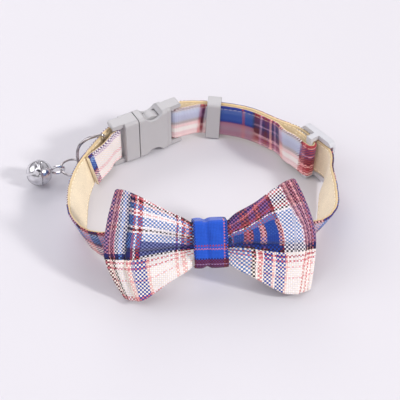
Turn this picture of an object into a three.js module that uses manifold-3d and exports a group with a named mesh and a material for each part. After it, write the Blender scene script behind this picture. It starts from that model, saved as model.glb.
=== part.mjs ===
// A small pet collar: one plaid strap with a cream lining, looped through a side-release buckle,
// a keeper and a three-bar slider, with a bow tie at the front and a bell on a D-ring.
// Millimetres, +Z up. The bow faces -Y, the buckle is at the back left, the bell lies at the left.
import * as THREE from 'three';
import { mergeVertices } from 'three/addons/utils/BufferGeometryUtils.js';
import Module from 'manifold-3d';

const wasm = await Module();
wasm.setup();

// Clearances
const CLEARANCE = 0.3;        // between pieces that touch
const SIDE_CLEARANCE = 0.4;   // between the strap's edges and the hardware's rails

// Strap
const STRAP_WIDTH = 12;
const STRAP_THICKNESS = 1.2;
const STRAP_EDGE = 0.3;       // rounding of the strap's long edges
const LOOP_WIDTH = 81;        // middle of the strap at the left side to the middle at the right
const LOOP_DEPTH = 62;        // middle of the strap at the front to the middle at the back
const LAYER_SPACING = 1.6;    // middle to middle of two strap layers that lie together
const LEFT_FOLD_LENGTH = 14.5;
const TAIL_LENGTH = 7;
const STRAP_STEP = 2.2;

// Plastic hardware
const RAIL = 1.6;             // plastic beside the strap's edges
const BUCKLE_SPAN = 22;       // bar to bar
const BUCKLE_HEADING = 30;    // degrees from +X, seen from above
const MALE_STRAP_HEADING = 232;
const FEMALE_STRAP_HEADING = 200;
const BUCKLE_BAR = 1.3;       // diameter of the bars that the strap folds over
const BUCKLE_LEAD = 3;        // straight stretch of strap at a bar
const BUCKLE_THICKNESS = 6.2;
const BUCKLE_ROUNDING = 1.3;
const BUCKLE_MOUTH = -0.15;   // joint line of the two halves from the middle, share of the span
const BUCKLE_BODY = 0.3;      // far end of the female half's thick body, share of the span
const WINDOW_PLACE = 0.09;    // middle of the two release windows, share of the span
const WINDOW_LENGTH = 0.3;    // share of the span
const WINDOW_DEPTH = 2.3;
const BODY_EDGE_WALL = 1.5;   // female half, above and below the arms
const BODY_FACE_WALL = 1.15;  // female half, in front of and behind the arms
const ARM_WIDTH = 1.7;
const TONGUE_WIDTH = 3.2;
const KEEPER_LENGTH = 4.4;    // along the strap
const KEEPER_WALL = 0.8;
const KEEPER_SLACK = 0.2;     // more room over the strap's bend
const SLIDER_LENGTH = 13.2;
const SLIDER_HEADING = 129;
const SLIDER_LEAN = 4;
const SLIDER_BAR_WIDTH = 2;
const SLIDER_BAR_THICKNESS = 1;
const SLIDER_RAIL_THICKNESS = 2.2;
const SLIDER_SLACK = 0.15;    // more room over the strap's bend
const CORNER_RADIUS = 2.2;

// Metal
const D_WIRE = 1.1;
const D_REACH = 9;            // bar to the far side of the ring
const D_SWING = 196;          // degrees from +X, seen from above: the ring points at the bell
const D_SLACK = 1.6;          // the ring's inner length beyond the strap's width
const D_LINK_ANGLE = -28;     // where the jump ring hangs, below the ring's far point
const JUMP_WIRE = 0.9;
const JUMP_RADIUS = 3.9;
const BELL_RADIUS = 4.15;
const BELL_WALL = 0.55;
const BELL_LOOP_WIRE = 0.8;
const BELL_LOOP_REACH = 4.2;  // shell to the far side of the loop's wire
const BELL_LOOP_WIDTH = 3.6;
const BELL_SLIT = 0.85;
const BELL_HOLE = 1;          // radius of the round hole at the end of each slit
const BELL_SEAM = 0.35;
const BELL_SLIT_START = 0.18; // share of the radius beyond the bell's middle
const PELLET_RADIUS = 1.1;

// Bow
const CLOTH = 1;              // two plies of shirting, folded and pressed
const BOW_HALF_LENGTH = 30.4;
const BOW_HEIGHT = 32.5;
const BOW_LEAN = -37;         // the bow's face looks up by this angle
const BOW_CREASE = 2.2;       // depth of the pinched crease across each wing
const BOW_PUFF = 3.3;         // how far the front of a wing stands off the bow's middle plane
const BUNDLE = 4.6;           // both cloth layers under the knot, front to back
const RIGHT_WING_RISE = 1.06; // the right wing's top edge against the left one's
const KNOT_WIDTH = 9.8;
const KNOT_WALL = 1;
const KNOT_PLEAT = 0.45;      // depth of the pleat down the knot's face
const KNOT_HEM = 0.35;        // the knot thins to its edges by this
const KNOT_SLACK = 0.25;      // more room over the strap's bend

const hardwareHeight = STRAP_WIDTH + 2 * (SIDE_CLEARANCE + RAIL);
const halfHeight = hardwareHeight / 2;
const slotHalf = STRAP_WIDTH / 2 + SIDE_CLEARANCE;
const keeperHeight = STRAP_WIDTH + 2 * (CLEARANCE + KEEPER_WALL);
const foldSpacing = Math.max(BUCKLE_BAR, D_WIRE) + 2 * CLEARANCE + STRAP_THICKNESS;
const tailDepth = STRAP_THICKNESS + CLEARANCE;
const sliderFoldSpacing = SLIDER_BAR_THICKNESS + 2 * CLEARANCE + STRAP_THICKNESS;
const sliderBarDepth = tailDepth + sliderFoldSpacing / 2;
const sliderFoldDepth = tailDepth + sliderFoldSpacing;
const bowOffset = STRAP_THICKNESS / 2 + CLEARANCE + BUNDLE / 2;

const TINY = 0.001;
const radians = THREE.MathUtils.degToRad;
const UP = new THREE.Vector3(0, 0, 1);

const plaid = new THREE.MeshStandardMaterial({ color: 0x8f8fb8, roughness: 0.9, metalness: 0 });
const bowCloth = new THREE.MeshStandardMaterial({ color: 0xa9a3c6, roughness: 0.9, metalness: 0 });
const knotCloth = new THREE.MeshStandardMaterial({ color: 0x3558b4, roughness: 0.9, metalness: 0 });
const greyPlastic = new THREE.MeshStandardMaterial({ color: 0xb4b2b8, roughness: 0.45, metalness: 0 });
const chrome = new THREE.MeshStandardMaterial({ color: 0xcdccd2, roughness: 0.18, metalness: 1 });

// Solids and booleans

function toSolid(geometry) {
  const bare = geometry.clone();
  bare.deleteAttribute('normal');
  bare.deleteAttribute('uv');
  const merged = mergeVertices(bare, 1e-4);
  return new wasm.Manifold(new wasm.Mesh({
    numProp: 3,
    vertProperties: new Float32Array(merged.attributes.position.array),
    triVerts: new Uint32Array(merged.index.array),
  }));
}

function toGeometry(solid) {
  const mesh = solid.getMesh();
  const geometry = new THREE.BufferGeometry();
  geometry.setAttribute('position', new THREE.BufferAttribute(new Float32Array(mesh.vertProperties), 3));
  geometry.setIndex(new THREE.BufferAttribute(new Uint32Array(mesh.triVerts), 1));
  geometry.computeVertexNormals();
  return geometry;
}

function join(geometries) {
  return geometries.map(toSolid).reduce((whole, piece) => whole.add(piece));
}

function cut(solid, geometries) {
  return geometries.map(toSolid).reduce((rest, tool) => rest.subtract(tool), solid);
}

// A block from corner to corner
function block(x0, x1, y0, y1, z0, z1) {
  return new THREE.BoxGeometry(x1 - x0, y1 - y0, z1 - z0)
    .translate((x0 + x1) / 2, (y0 + y1) / 2, (z0 + z1) / 2);
}

function roundedOutline(u0, u1, v0, v1, radius) {
  const shape = new THREE.Shape();
  shape.moveTo(u0 + radius, v0);
  shape.lineTo(u1 - radius, v0);
  shape.absarc(u1 - radius, v0 + radius, radius, -Math.PI / 2, 0);
  shape.lineTo(u1, v1 - radius);
  shape.absarc(u1 - radius, v1 - radius, radius, 0, Math.PI / 2);
  shape.lineTo(u0 + radius, v1);
  shape.absarc(u0 + radius, v1 - radius, radius, Math.PI / 2, Math.PI);
  shape.lineTo(u0, v0 + radius);
  shape.absarc(u0 + radius, v0 + radius, radius, Math.PI, Math.PI * 1.5);
  return shape;
}

// An outline drawn in X and Z, given depth along Y
function plate(outline, y0, y1) {
  return new THREE.ExtrudeGeometry(outline, { depth: y1 - y0, bevelEnabled: false, curveSegments: 5 })
    .rotateX(Math.PI / 2)
    .translate(0, y1, 0);
}

// An outline drawn in Y and Z, given length along X
function sleeve(outline, x0, x1) {
  return new THREE.ExtrudeGeometry(outline, { depth: x1 - x0, bevelEnabled: false, curveSegments: 5 })
    .rotateX(Math.PI / 2)
    .rotateZ(Math.PI / 2)
    .translate(x0, 0, 0);
}

// Closes a grid of points into one solid: each row is a loop of points, rows follow each other,
// and the last row joins the first or both ends are capped
function loft(rows, closed) {
  const count = rows[0].length;
  const positions = rows.flat().flatMap((p) => [p.x, p.y, p.z]);
  const index = [];
  const last = closed ? rows.length : rows.length - 1;
  for (let i = 0; i < last; i += 1) {
    const a = i * count;
    const b = ((i + 1) % rows.length) * count;
    for (let j = 0; j < count; j += 1) {
      const k = (j + 1) % count;
      index.push(a + j, a + k, b + k, a + j, b + k, b + j);
    }
  }
  if (!closed) {
    const end = (rows.length - 1) * count;
    for (let j = 1; j < count - 1; j += 1) {
      index.push(0, j + 1, j, end, end + j, end + j + 1);
    }
  }
  const geometry = new THREE.BufferGeometry();
  geometry.setAttribute('position', new THREE.Float32BufferAttribute(positions, 3));
  geometry.setIndex(index);
  return faceOut(geometry);
}

// Turns every face round if the solid is inside out
function faceOut(geometry) {
  const index = geometry.index.array;
  const position = geometry.attributes.position;
  const corner = (i) => new THREE.Vector3().fromBufferAttribute(position, index[i]);
  let volume = 0;
  for (let i = 0; i < index.length; i += 3) {
    volume += corner(i).cross(corner(i + 1)).dot(corner(i + 2));
  }
  if (volume < 0) {
    for (let i = 0; i < index.length; i += 3) {
      [index[i], index[i + 1]] = [index[i + 1], index[i]];
    }
  }
  geometry.computeVertexNormals();
  return geometry;
}

// Round wire along a closed loop of points
function wireLoop(points, radius, sides) {
  const count = points.length;
  const rows = points.map((point, i) => {
    const along = points[(i + 1) % count].clone().sub(points[(i + count - 1) % count]).normalize();
    const centre = points.reduce((sum, p) => sum.add(p), new THREE.Vector3()).divideScalar(count);
    const out = point.clone().sub(centre);
    out.addScaledVector(along, -out.dot(along)).normalize();
    const side = new THREE.Vector3().crossVectors(along, out);
    return Array.from({ length: sides }, (_, j) => {
      const angle = (2 * Math.PI * (j + 0.5)) / sides;
      return point.clone()
        .addScaledVector(out, radius * Math.cos(angle))
        .addScaledVector(side, radius * Math.sin(angle));
    });
  });
  return loft(rows, true);
}

// The strap's route: the middle of its outer layer, from the male buckle's bar round the left side,
// the front and the right side to the female buckle's bar. across and deep are shares of the loop's
// width and depth, height is in millimetres, and lean tips the top edge away from the neck.
const low = STRAP_WIDTH / 2;
const sliderCentre = { across: 0.434, deep: 0.04 };

function onStretch(centre, heading, distance) {
  return {
    across: centre.across + (distance * Math.cos(radians(heading))) / LOOP_WIDTH,
    deep: centre.deep + (distance * Math.sin(radians(heading))) / LOOP_DEPTH,
  };
}

// The strap's outer layer where it passes a buckle bar, and along its heading from there
function beside(bar, heading, distance) {
  return onStretch(onStretch(bar, heading - 90, foldSpacing / 2), heading, distance);
}

const maleBar = { across: -0.349, deep: 0.13 };
const femaleBar = onStretch(maleBar, BUCKLE_HEADING, BUCKLE_SPAN);
const atMale = (distance) => beside(maleBar, MALE_STRAP_HEADING, distance);
const atFemale = (distance) => beside(femaleBar, FEMALE_STRAP_HEADING, distance);
const onSlider = (distance) => onStretch(sliderCentre, SLIDER_HEADING, distance);
const leanBack = radians(-BOW_LEAN);
const bowRest = 0.475 * BOW_HEIGHT + CLOTH / 2;       // middle of the bow down its face to the floor
const frontHeight = bowRest * Math.cos(leanBack) - bowOffset * Math.sin(leanBack);
const route = [
  { place: 'male_bar', ...atMale(0), height: halfHeight, lean: 0 },
  { place: 'male_lead', ...atMale(BUCKLE_LEAD), height: halfHeight, lean: 0 },
  { place: 'd_ring', across: -0.4, deep: 0.07, height: halfHeight - 0.1, lean: 1 },
  { place: 'left_back', across: -0.435, deep: -0.029, height: low * 1.17, lean: 9 },
  { place: 'left_rise', across: -0.465, deep: -0.148, height: low * 1.06, lean: 18 },
  { place: 'left', across: -0.474, deep: -0.295, height: low * 1.02, lean: 24 },
  { place: 'left_front', across: -0.456, deep: -0.465, height: low * 1.04, lean: 20 },
  { place: 'left_corner', across: -0.377, deep: -0.584, height: low * 1.2, lean: 12 },
  { place: 'behind_left_wing', across: -0.185, deep: -0.635, height: low * 1.57, lean: -28 },
  { place: 'front', across: 0.023, deep: -0.622, height: frontHeight, lean: BOW_LEAN },
  { place: 'behind_right_wing', across: 0.222, deep: -0.595, height: low * 1.5, lean: -24 },
  { place: 'right_corner', across: 0.401, deep: -0.497, height: low * 1.17, lean: 18 },
  { place: 'right_front', across: 0.46, deep: -0.395, height: low * 1.05, lean: 26 },
  { place: 'right', across: 0.472, deep: -0.274, height: low * 1.02, lean: 24 },
  { place: 'right_back', across: 0.475, deep: -0.15, height: low * 1.12, lean: 15 },
  { place: 'slider_start', ...onSlider(-SLIDER_LENGTH / 2), height: halfHeight + 0.1, lean: SLIDER_LEAN },
  { place: 'slider', ...onSlider(0), height: halfHeight + 0.2, lean: SLIDER_LEAN },
  { place: 'slider_end', ...onSlider(SLIDER_LENGTH / 2), height: halfHeight + 0.1, lean: SLIDER_LEAN },
  { place: 'back_right', across: 0.296, deep: 0.215, height: low * 1.2, lean: 2 },
  { place: 'back_middle', across: 0.185, deep: 0.31, height: low * 1.2, lean: 1 },
  { place: 'keeper', across: 0.044, deep: 0.36, height: keeperHeight / 2, lean: 0 },
  { place: 'female_lead', ...atFemale(-BUCKLE_LEAD), height: halfHeight, lean: 0 },
  { place: 'female_bar', ...atFemale(0), height: halfHeight, lean: 0 },
];

const routeCurve = new THREE.CatmullRomCurve3(
  route.map((row) => new THREE.Vector3(row.across * LOOP_WIDTH, row.deep * LOOP_DEPTH, row.height)),
  false,
  'centripetal',
);
const leanCurve = new THREE.SplineCurve(route.map((row, i) => new THREE.Vector2(i, row.lean)));

// Distance along the route, from even samples of the curve
const SAMPLES_PER_ROW = 40;
const sampleCount = (route.length - 1) * SAMPLES_PER_ROW;
const samples = Array.from({ length: sampleCount + 1 }, (_, i) => routeCurve.getPoint(i / sampleCount));
const distances = samples.reduce((list, point, i) => {
  list.push(i === 0 ? 0 : list[i - 1] + point.distanceTo(samples[i - 1]));
  return list;
}, []);
const routeLength = distances[sampleCount];

function distanceOf(place) {
  return distances[route.findIndex((row) => row.place === place) * SAMPLES_PER_ROW];
}

// Where the strap's outer layer is, and how it is turned, at a distance along the route
function strapFrame(distance) {
  const inside = THREE.MathUtils.clamp(distance, 0, routeLength);
  let i = distances.findIndex((d) => d >= inside);
  i = THREE.MathUtils.clamp(i, 1, sampleCount);
  const part = (inside - distances[i - 1]) / (distances[i] - distances[i - 1]);
  const at = (i - 1 + part) / sampleCount;
  const middle = samples[i - 1].clone().lerp(samples[i], part);
  const along = routeCurve.getTangent(at);
  middle.addScaledVector(along, distance - inside);
  const level = new THREE.Vector3(along.y, -along.x, 0).normalize();
  const upright = new THREE.Vector3().crossVectors(level, along).normalize();
  const lean = radians(leanCurve.getPoint(at).y);
  const across = upright.clone().multiplyScalar(Math.cos(lean)).addScaledVector(level, Math.sin(lean));
  const outward = level.clone().multiplyScalar(Math.cos(lean)).addScaledVector(upright, -Math.sin(lean));
  return { middle, along, across, outward };
}

// Group that places a piece modelled with X along the strap, Y outward and Z across it
function strapGroup(frame) {
  const group = new THREE.Group();
  const basis = new THREE.Matrix4().makeBasis(frame.along.clone().negate(), frame.outward, frame.across);
  group.applyMatrix4(basis.setPosition(frame.middle));
  return group;
}

// Strap: one ribbon, folded over the two buckle bars and the slider's middle bar

function smoothStep(value, from, to) {
  const x = THREE.MathUtils.clamp((value - from) / (to - from), 0, 1);
  return x * x * (3 - 2 * x);
}

function strapSolid() {
  const dAt = distanceOf('d_ring');
  const sliderAt = distanceOf('slider');
  const keeperAt = distanceOf('keeper');
  const pastSliderBar = (SLIDER_BAR_WIDTH - SLIDER_BAR_THICKNESS) / 2;
  const path = [];
  const place = (distance, depth, beyond) => {
    const { middle, along, across, outward } = strapFrame(distance);
    middle.addScaledVector(outward, -depth).addScaledVector(along, beyond);
    path.push({ middle, across });
  };
  const run = (from, to, depthAt) => {
    const steps = Math.max(2, Math.round(Math.abs(to - from) / STRAP_STEP));
    for (let i = 0; i <= steps; i += 1) {
      const distance = from + ((to - from) * i) / steps;
      place(distance, depthAt(distance), 0);
    }
  };
  const fold = (distance, depthFrom, depthTo, beyond) => {
    const radius = Math.abs(depthTo - depthFrom) / 2;
    const centre = (depthFrom + depthTo) / 2;
    const steps = 6;
    for (let i = 1; i < steps; i += 1) {
      const angle = (Math.PI * i) / steps;
      const depth = centre + ((depthFrom - depthTo) / 2) * Math.cos(angle);
      place(distance, depth, beyond + Math.sign(beyond) * radius * Math.sin(angle));
    }
  };
  const leftDepth = (s) => THREE.MathUtils.lerp(
    foldSpacing,
    LAYER_SPACING,
    smoothStep(s, dAt + D_WIRE, LEFT_FOLD_LENGTH),
  );
  const rightDepth = (s) => {
    const nearBuckle = smoothStep(s, keeperAt + KEEPER_LENGTH, routeLength - 2 * BUCKLE_BAR);
    const nearSlider = 1 - smoothStep(s, sliderAt + TAIL_LENGTH + 1, sliderAt + TAIL_LENGTH + 9);
    return LAYER_SPACING
      + (foldSpacing - LAYER_SPACING) * nearBuckle
      + (sliderFoldDepth - LAYER_SPACING) * nearSlider;
  };
  run(LEFT_FOLD_LENGTH, 0, leftDepth);
  fold(0, foldSpacing, 0, -TINY);
  run(0, routeLength, () => 0);
  fold(routeLength, 0, foldSpacing, TINY);
  run(routeLength, sliderAt - pastSliderBar, rightDepth);
  fold(sliderAt, sliderFoldDepth, tailDepth, -pastSliderBar);
  run(sliderAt - pastSliderBar, sliderAt + TAIL_LENGTH, () => tailDepth);

  const half = STRAP_WIDTH / 2;
  const thick = STRAP_THICKNESS / 2;
  const section = [
    [half - STRAP_EDGE, thick], [half, thick - STRAP_EDGE],
    [half, -thick + STRAP_EDGE], [half - STRAP_EDGE, -thick],
    [-half + STRAP_EDGE, -thick], [-half, -thick + STRAP_EDGE],
    [-half, thick - STRAP_EDGE], [-half + STRAP_EDGE, thick],
  ];
  const rows = path.map((station, i) => {
    const before = path[Math.max(i - 1, 0)].middle;
    const after = path[Math.min(i + 1, path.length - 1)].middle;
    const along = after.clone().sub(before).normalize();
    const face = new THREE.Vector3().crossVectors(along, station.across).normalize();
    return section.map(([u, v]) => station.middle.clone()
      .addScaledVector(station.across, u)
      .addScaledVector(face, v));
  });
  return loft(rows, false);
}

// Side-release buckle, modelled with X from the male bar to the female bar, Y outward and Z up

const halfSpan = BUCKLE_SPAN / 2;
const halfThick = BUCKLE_THICKNESS / 2;
const foldReach = BUCKLE_BAR / 2 + STRAP_THICKNESS + 3 * CLEARANCE;
const mouth = BUCKLE_SPAN * BUCKLE_MOUTH;
const bodyEnd = BUCKLE_SPAN * BUCKLE_BODY;
const cavityHeight = halfHeight - BODY_EDGE_WALL;
const cavityThick = halfThick - BODY_FACE_WALL;
const windowMiddle = BUCKLE_SPAN * WINDOW_PLACE;
const windowLength = BUCKLE_SPAN * WINDOW_LENGTH;
const railThick = halfThick * 0.62;

// The frame round the strap's fold: two rails and the bar, at either end of the buckle
function barFrame(side) {
  const bar = new THREE.CylinderGeometry(BUCKLE_BAR / 2, BUCKLE_BAR / 2, hardwareHeight - RAIL, 12)
    .rotateX(Math.PI / 2)
    .translate(side * halfSpan, 0, 0);
  const inner = side * (halfSpan - foldReach - 1);
  const outer = side * (halfSpan + BUCKLE_BAR);
  const rails = [-1, 1].map((end) => plate(
    roundedOutline(
      Math.min(inner, outer),
      Math.max(inner, outer),
      end > 0 ? slotHalf : -halfHeight,
      end > 0 ? halfHeight : -slotHalf,
      0.6,
    ),
    -railThick,
    railThick,
  ));
  return [bar, ...rails];
}

// Arched notch at an edge of the female body, end is 1 for the upper edge and -1 for the lower one
function arch(end) {
  const half = windowLength / 2;
  const depth = WINDOW_DEPTH;
  const radius = (half * half + depth * depth) / (2 * depth);
  const sweep = Math.asin(half / radius);
  const shape = new THREE.Shape();
  shape.absarc(0, 0, radius, -Math.PI / 2 - sweep, -Math.PI / 2 + sweep);
  const notch = plate(shape, -halfThick - 1, halfThick + 1);
  notch.translate(windowMiddle, 0, halfHeight + radius - depth);
  return end > 0 ? notch : notch.rotateX(Math.PI);
}

function femaleSolid() {
  const body = sleeve(
    roundedOutline(-halfThick, halfThick, -halfHeight, halfHeight, BUCKLE_ROUNDING),
    mouth,
    bodyEnd,
  );
  const shoulderThick = halfThick * 0.85;
  const shoulder = sleeve(
    roundedOutline(-shoulderThick, shoulderThick, -halfHeight, halfHeight, BUCKLE_ROUNDING),
    bodyEnd - 0.5,
    halfSpan - foldReach,
  );
  return cut(join([body, shoulder, ...barFrame(1)]), [
    block(mouth - 1, bodyEnd - 1, -cavityThick, cavityThick, -cavityHeight, cavityHeight),
    arch(1),
    arch(-1),
  ]);
}

function maleSolid() {
  const shoulder = mouth - CLEARANCE;
  const base = sleeve(
    roundedOutline(-halfThick, halfThick, -halfHeight, halfHeight, BUCKLE_ROUNDING),
    -halfSpan + foldReach,
    shoulder,
  );
  const armOuter = cavityHeight - SIDE_CLEARANCE;
  const armThick = cavityThick - SIDE_CLEARANCE;
  const armEnd = windowMiddle + windowLength * 0.42;
  const arms = [-1, 1].map((end) => plate(
    roundedOutline(
      shoulder - 0.5,
      armEnd,
      end > 0 ? armOuter - ARM_WIDTH : -armOuter,
      end > 0 ? armOuter : -armOuter + ARM_WIDTH,
      0.5,
    ),
    -armThick,
    armThick,
  ));
  const padRadius = windowLength * 0.36;
  const padHeight = padRadius * 0.62;
  const pads = [-1, 1].map((end) => new THREE.CylinderGeometry(padRadius, padRadius, 2 * armThick, 20)
    .scale(1, 1, padHeight / padRadius)
    .translate(windowMiddle, 0, end * (armOuter - ARM_WIDTH * 0.6)));
  const tongueHalf = TONGUE_WIDTH / 2;
  const tongue = block(shoulder - 0.5, windowMiddle, -armThick, armThick, -tongueHalf, tongueHalf);
  return join([base, ...arms, ...pads, tongue, ...barFrame(-1)]);
}

function buckleGroup() {
  const start = strapFrame(0);
  const end = strapFrame(routeLength);
  const male = start.middle.clone().addScaledVector(start.outward, -foldSpacing / 2);
  const female = end.middle.clone().addScaledVector(end.outward, -foldSpacing / 2);
  const along = female.clone().sub(male).normalize();
  const outward = new THREE.Vector3(-along.y, along.x, 0).normalize();
  const across = new THREE.Vector3().crossVectors(along, outward);
  const group = new THREE.Group();
  const basis = new THREE.Matrix4().makeBasis(along, outward, across);
  group.applyMatrix4(basis.setPosition(male.add(female).multiplyScalar(0.5)));
  return group;
}

// Keeper: a rectangular ring round both strap layers
function keeperSolid() {
  const inside = STRAP_THICKNESS / 2 + CLEARANCE + KEEPER_SLACK;
  const half = keeperHeight / 2;
  const ring = roundedOutline(
    -LAYER_SPACING - inside - KEEPER_WALL,
    inside + KEEPER_WALL,
    -half,
    half,
    KEEPER_WALL,
  );
  const hole = half - KEEPER_WALL;
  ring.holes.push(roundedOutline(-LAYER_SPACING - inside, inside, -hole, hole, 0.3));
  return sleeve(ring, -KEEPER_LENGTH / 2, KEEPER_LENGTH / 2);
}

// Slider: two rails, a bar at each end outside the strap and a middle bar inside its fold
function sliderSolid() {
  const half = SLIDER_LENGTH / 2;
  const over = STRAP_THICKNESS / 2 + CLEARANCE + SLIDER_SLACK;
  const top = over + SLIDER_BAR_THICKNESS;
  const railBottom = top - SLIDER_RAIL_THICKNESS;
  const barTop = -sliderBarDepth + SLIDER_BAR_THICKNESS / 2;
  const barBottom = -sliderBarDepth - SLIDER_BAR_THICKNESS / 2;
  const outline = roundedOutline(-half, half, -halfHeight, halfHeight, CORNER_RADIUS);
  const hole = roundedOutline(-half - 2, half + 2, -slotHalf, slotHalf, 0.5);
  const rails = cut(join([plate(outline, railBottom, top)]), [plate(hole, railBottom - 1, top + 1)]);
  const slots = [-1, 1].map((side) => {
    const edges = [side * SLIDER_BAR_WIDTH / 2, side * (half - SLIDER_BAR_WIDTH)];
    const slot = roundedOutline(Math.min(...edges), Math.max(...edges), -slotHalf, slotHalf, 0.5);
    return plate(slot, over - 1, top + 1);
  });
  const openMiddle = block(-SLIDER_BAR_WIDTH, SLIDER_BAR_WIDTH, over - 1, top + 1, -slotHalf, slotHalf);
  const ends = cut(join([plate(outline, over, top)]), [...slots, openMiddle]);
  const drops = [-1, 1].map((end) => block(
    -SLIDER_BAR_WIDTH / 2,
    SLIDER_BAR_WIDTH / 2,
    barBottom,
    top - 0.2,
    end > 0 ? slotHalf : -halfHeight,
    end > 0 ? halfHeight : -slotHalf,
  ));
  const middle = sleeve(
    roundedOutline(barBottom, barTop, -halfHeight, halfHeight, 0.3),
    -SLIDER_BAR_WIDTH / 2,
    SLIDER_BAR_WIDTH / 2,
  );
  return rails.add(ends).add(join([...drops, middle]));
}

// Bow: one closed loop of cloth, pinched at the middle, modelled in the knot's frame with
// X along the bow, Y out of its face and Z up its face

// One row a station from the knot to the wing's end and back. reach is a share of the bow's half
// length, top and bottom are shares of half its height, front is a share of the puff, and crease is a
// share of the crease's depth.
const frontStations = [
  { reach: 0, top: 0.355, bottom: -0.355, front: 0.545, crease: 0.6 },
  { reach: 0.08, top: 0.355, bottom: -0.355, front: 0.545, crease: 0.6 },
  { reach: 0.165, top: 0.37, bottom: -0.38, front: 0.56, crease: 0.66 },
  { reach: 0.25, top: 0.47, bottom: -0.48, front: 0.72, crease: 0.95 },
  { reach: 0.38, top: 0.61, bottom: -0.61, front: 0.88, crease: 1 },
  { reach: 0.54, top: 0.77, bottom: -0.79, front: 0.97, crease: 0.85 },
  { reach: 0.68, top: 0.9, bottom: -0.925, front: 1, crease: 0.5 },
  { reach: 0.8, top: 0.98, bottom: -0.955, front: 1, crease: 0.2 },
  { reach: 0.88, top: 1.02, bottom: -0.955, front: 0.92, crease: 0.05 },
];
const endStations = [
  { reach: 0.95, top: 1.03, bottom: -0.945, front: 0.62, crease: 0 },
  { reach: 0.995, top: 1.03, bottom: -0.93, front: 0.24, crease: 0 },
  { reach: 0.985, top: 1.02, bottom: -0.9, front: -0.14, crease: 0 },
  { reach: 0.93, top: 1.01, bottom: -0.885, front: -0.36, crease: 0 },
];
const backStations = [
  { reach: 0.8, top: 0.96, bottom: -0.87, front: -0.42, crease: 0 },
  { reach: 0.62, top: 0.82, bottom: -0.8, front: -0.44, crease: 0 },
  { reach: 0.44, top: 0.63, bottom: -0.64, front: -0.46, crease: 0 },
  { reach: 0.26, top: 0.47, bottom: -0.48, front: -0.52, crease: 0 },
  { reach: 0.165, top: 0.365, bottom: -0.38, front: -0.545, crease: 0 },
  { reach: 0.08, top: 0.355, bottom: -0.355, front: -0.545, crease: 0 },
];
// How far each wing's corners fall short of its widest place, as shares of the half length, and
// where that place is, as a share of the wing's height
const wingEnds = {
  right: { top: 0.195, bottom: 0.07, widest: 0.46 },
  left: { top: 0.14, bottom: 0.19, widest: 0.43 },
};
const CREASE_SPREAD = 0.2;    // half width of the crease, share of the wing's height
const PINCH_REACH = 0.2;      // the wings spread from here
const CLOTH_ROWS = 12;

function cornerShortfall({ side, reach }, up) {
  const { top, bottom, widest } = side > 0 ? wingEnds.right : wingEnds.left;
  const away = up > widest ? (up - widest) / (1 - widest) : (widest - up) / widest;
  return (up > widest ? top : bottom) * reach ** 3 * away ** 1.6;
}

function bowSheet() {
  const wing = [...frontStations, ...endStations, ...backStations];
  const right = wing.map((row) => ({ ...row, side: 1 }));
  const left = wing.slice(1).reverse().map((row) => ({ ...row, side: -1 }));
  const centreBack = { reach: 0, top: 0.355, bottom: -0.355, front: -0.545, crease: 0, side: 1 };
  return [...right, centreBack, ...left].map((row) => Array.from({ length: CLOTH_ROWS + 1 }, (_, j) => {
    const up = j / CLOTH_ROWS;
    const top = row.side > 0 && row.reach > PINCH_REACH ? row.top * RIGHT_WING_RISE : row.top;
    const rise = (THREE.MathUtils.lerp(row.bottom, top, up) * BOW_HEIGHT) / 2;
    const crease = row.crease * Math.exp(-(((up - 0.48) / CREASE_SPREAD) ** 2));
    return new THREE.Vector3(
      row.side * row.reach * BOW_HALF_LENGTH * (1 - cornerShortfall(row, up)),
      row.front * BOW_PUFF - crease * BOW_CREASE,
      rise,
    );
  }));
}

// Gives a closed band of cloth its thickness: rows of points round the band, each from edge to edge
function clothSolid(sheet, thickness) {
  const stations = sheet.length;
  const across = sheet[0].length;
  const rows = sheet.map((row, i) => {
    const next = sheet[(i + 1) % stations];
    const before = sheet[(i + stations - 1) % stations];
    const faces = row.map((point, j) => {
      const along = next[j].clone().sub(before[j]);
      const up = row[Math.min(j + 1, across - 1)].clone().sub(row[Math.max(j - 1, 0)]);
      const normal = new THREE.Vector3().crossVectors(up, along).normalize();
      return { point, normal };
    });
    const outer = faces.map(({ point, normal }) => point.clone().addScaledVector(normal, thickness / 2));
    const inner = faces.map(({ point, normal }) => point.clone().addScaledVector(normal, -thickness / 2));
    return [...outer, ...inner.reverse()];
  });
  return loft(rows, true);
}

// The corners of a rounded rectangle, each as the same number of points
function ringPoints(u0, u1, v0, v1, radius) {
  const corners = [
    [u1 - radius, v0 + radius, -90],
    [u1 - radius, v1 - radius, 0],
    [u0 + radius, v1 - radius, 90],
    [u0 + radius, v0 + radius, 180],
  ];
  return corners.flatMap(([u, v, from]) => [0, 22.5, 45, 67.5, 90].map((turn) => new THREE.Vector2(
    u + radius * Math.cos(radians(from + turn)),
    v + radius * Math.sin(radians(from + turn)),
  )));
}

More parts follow.
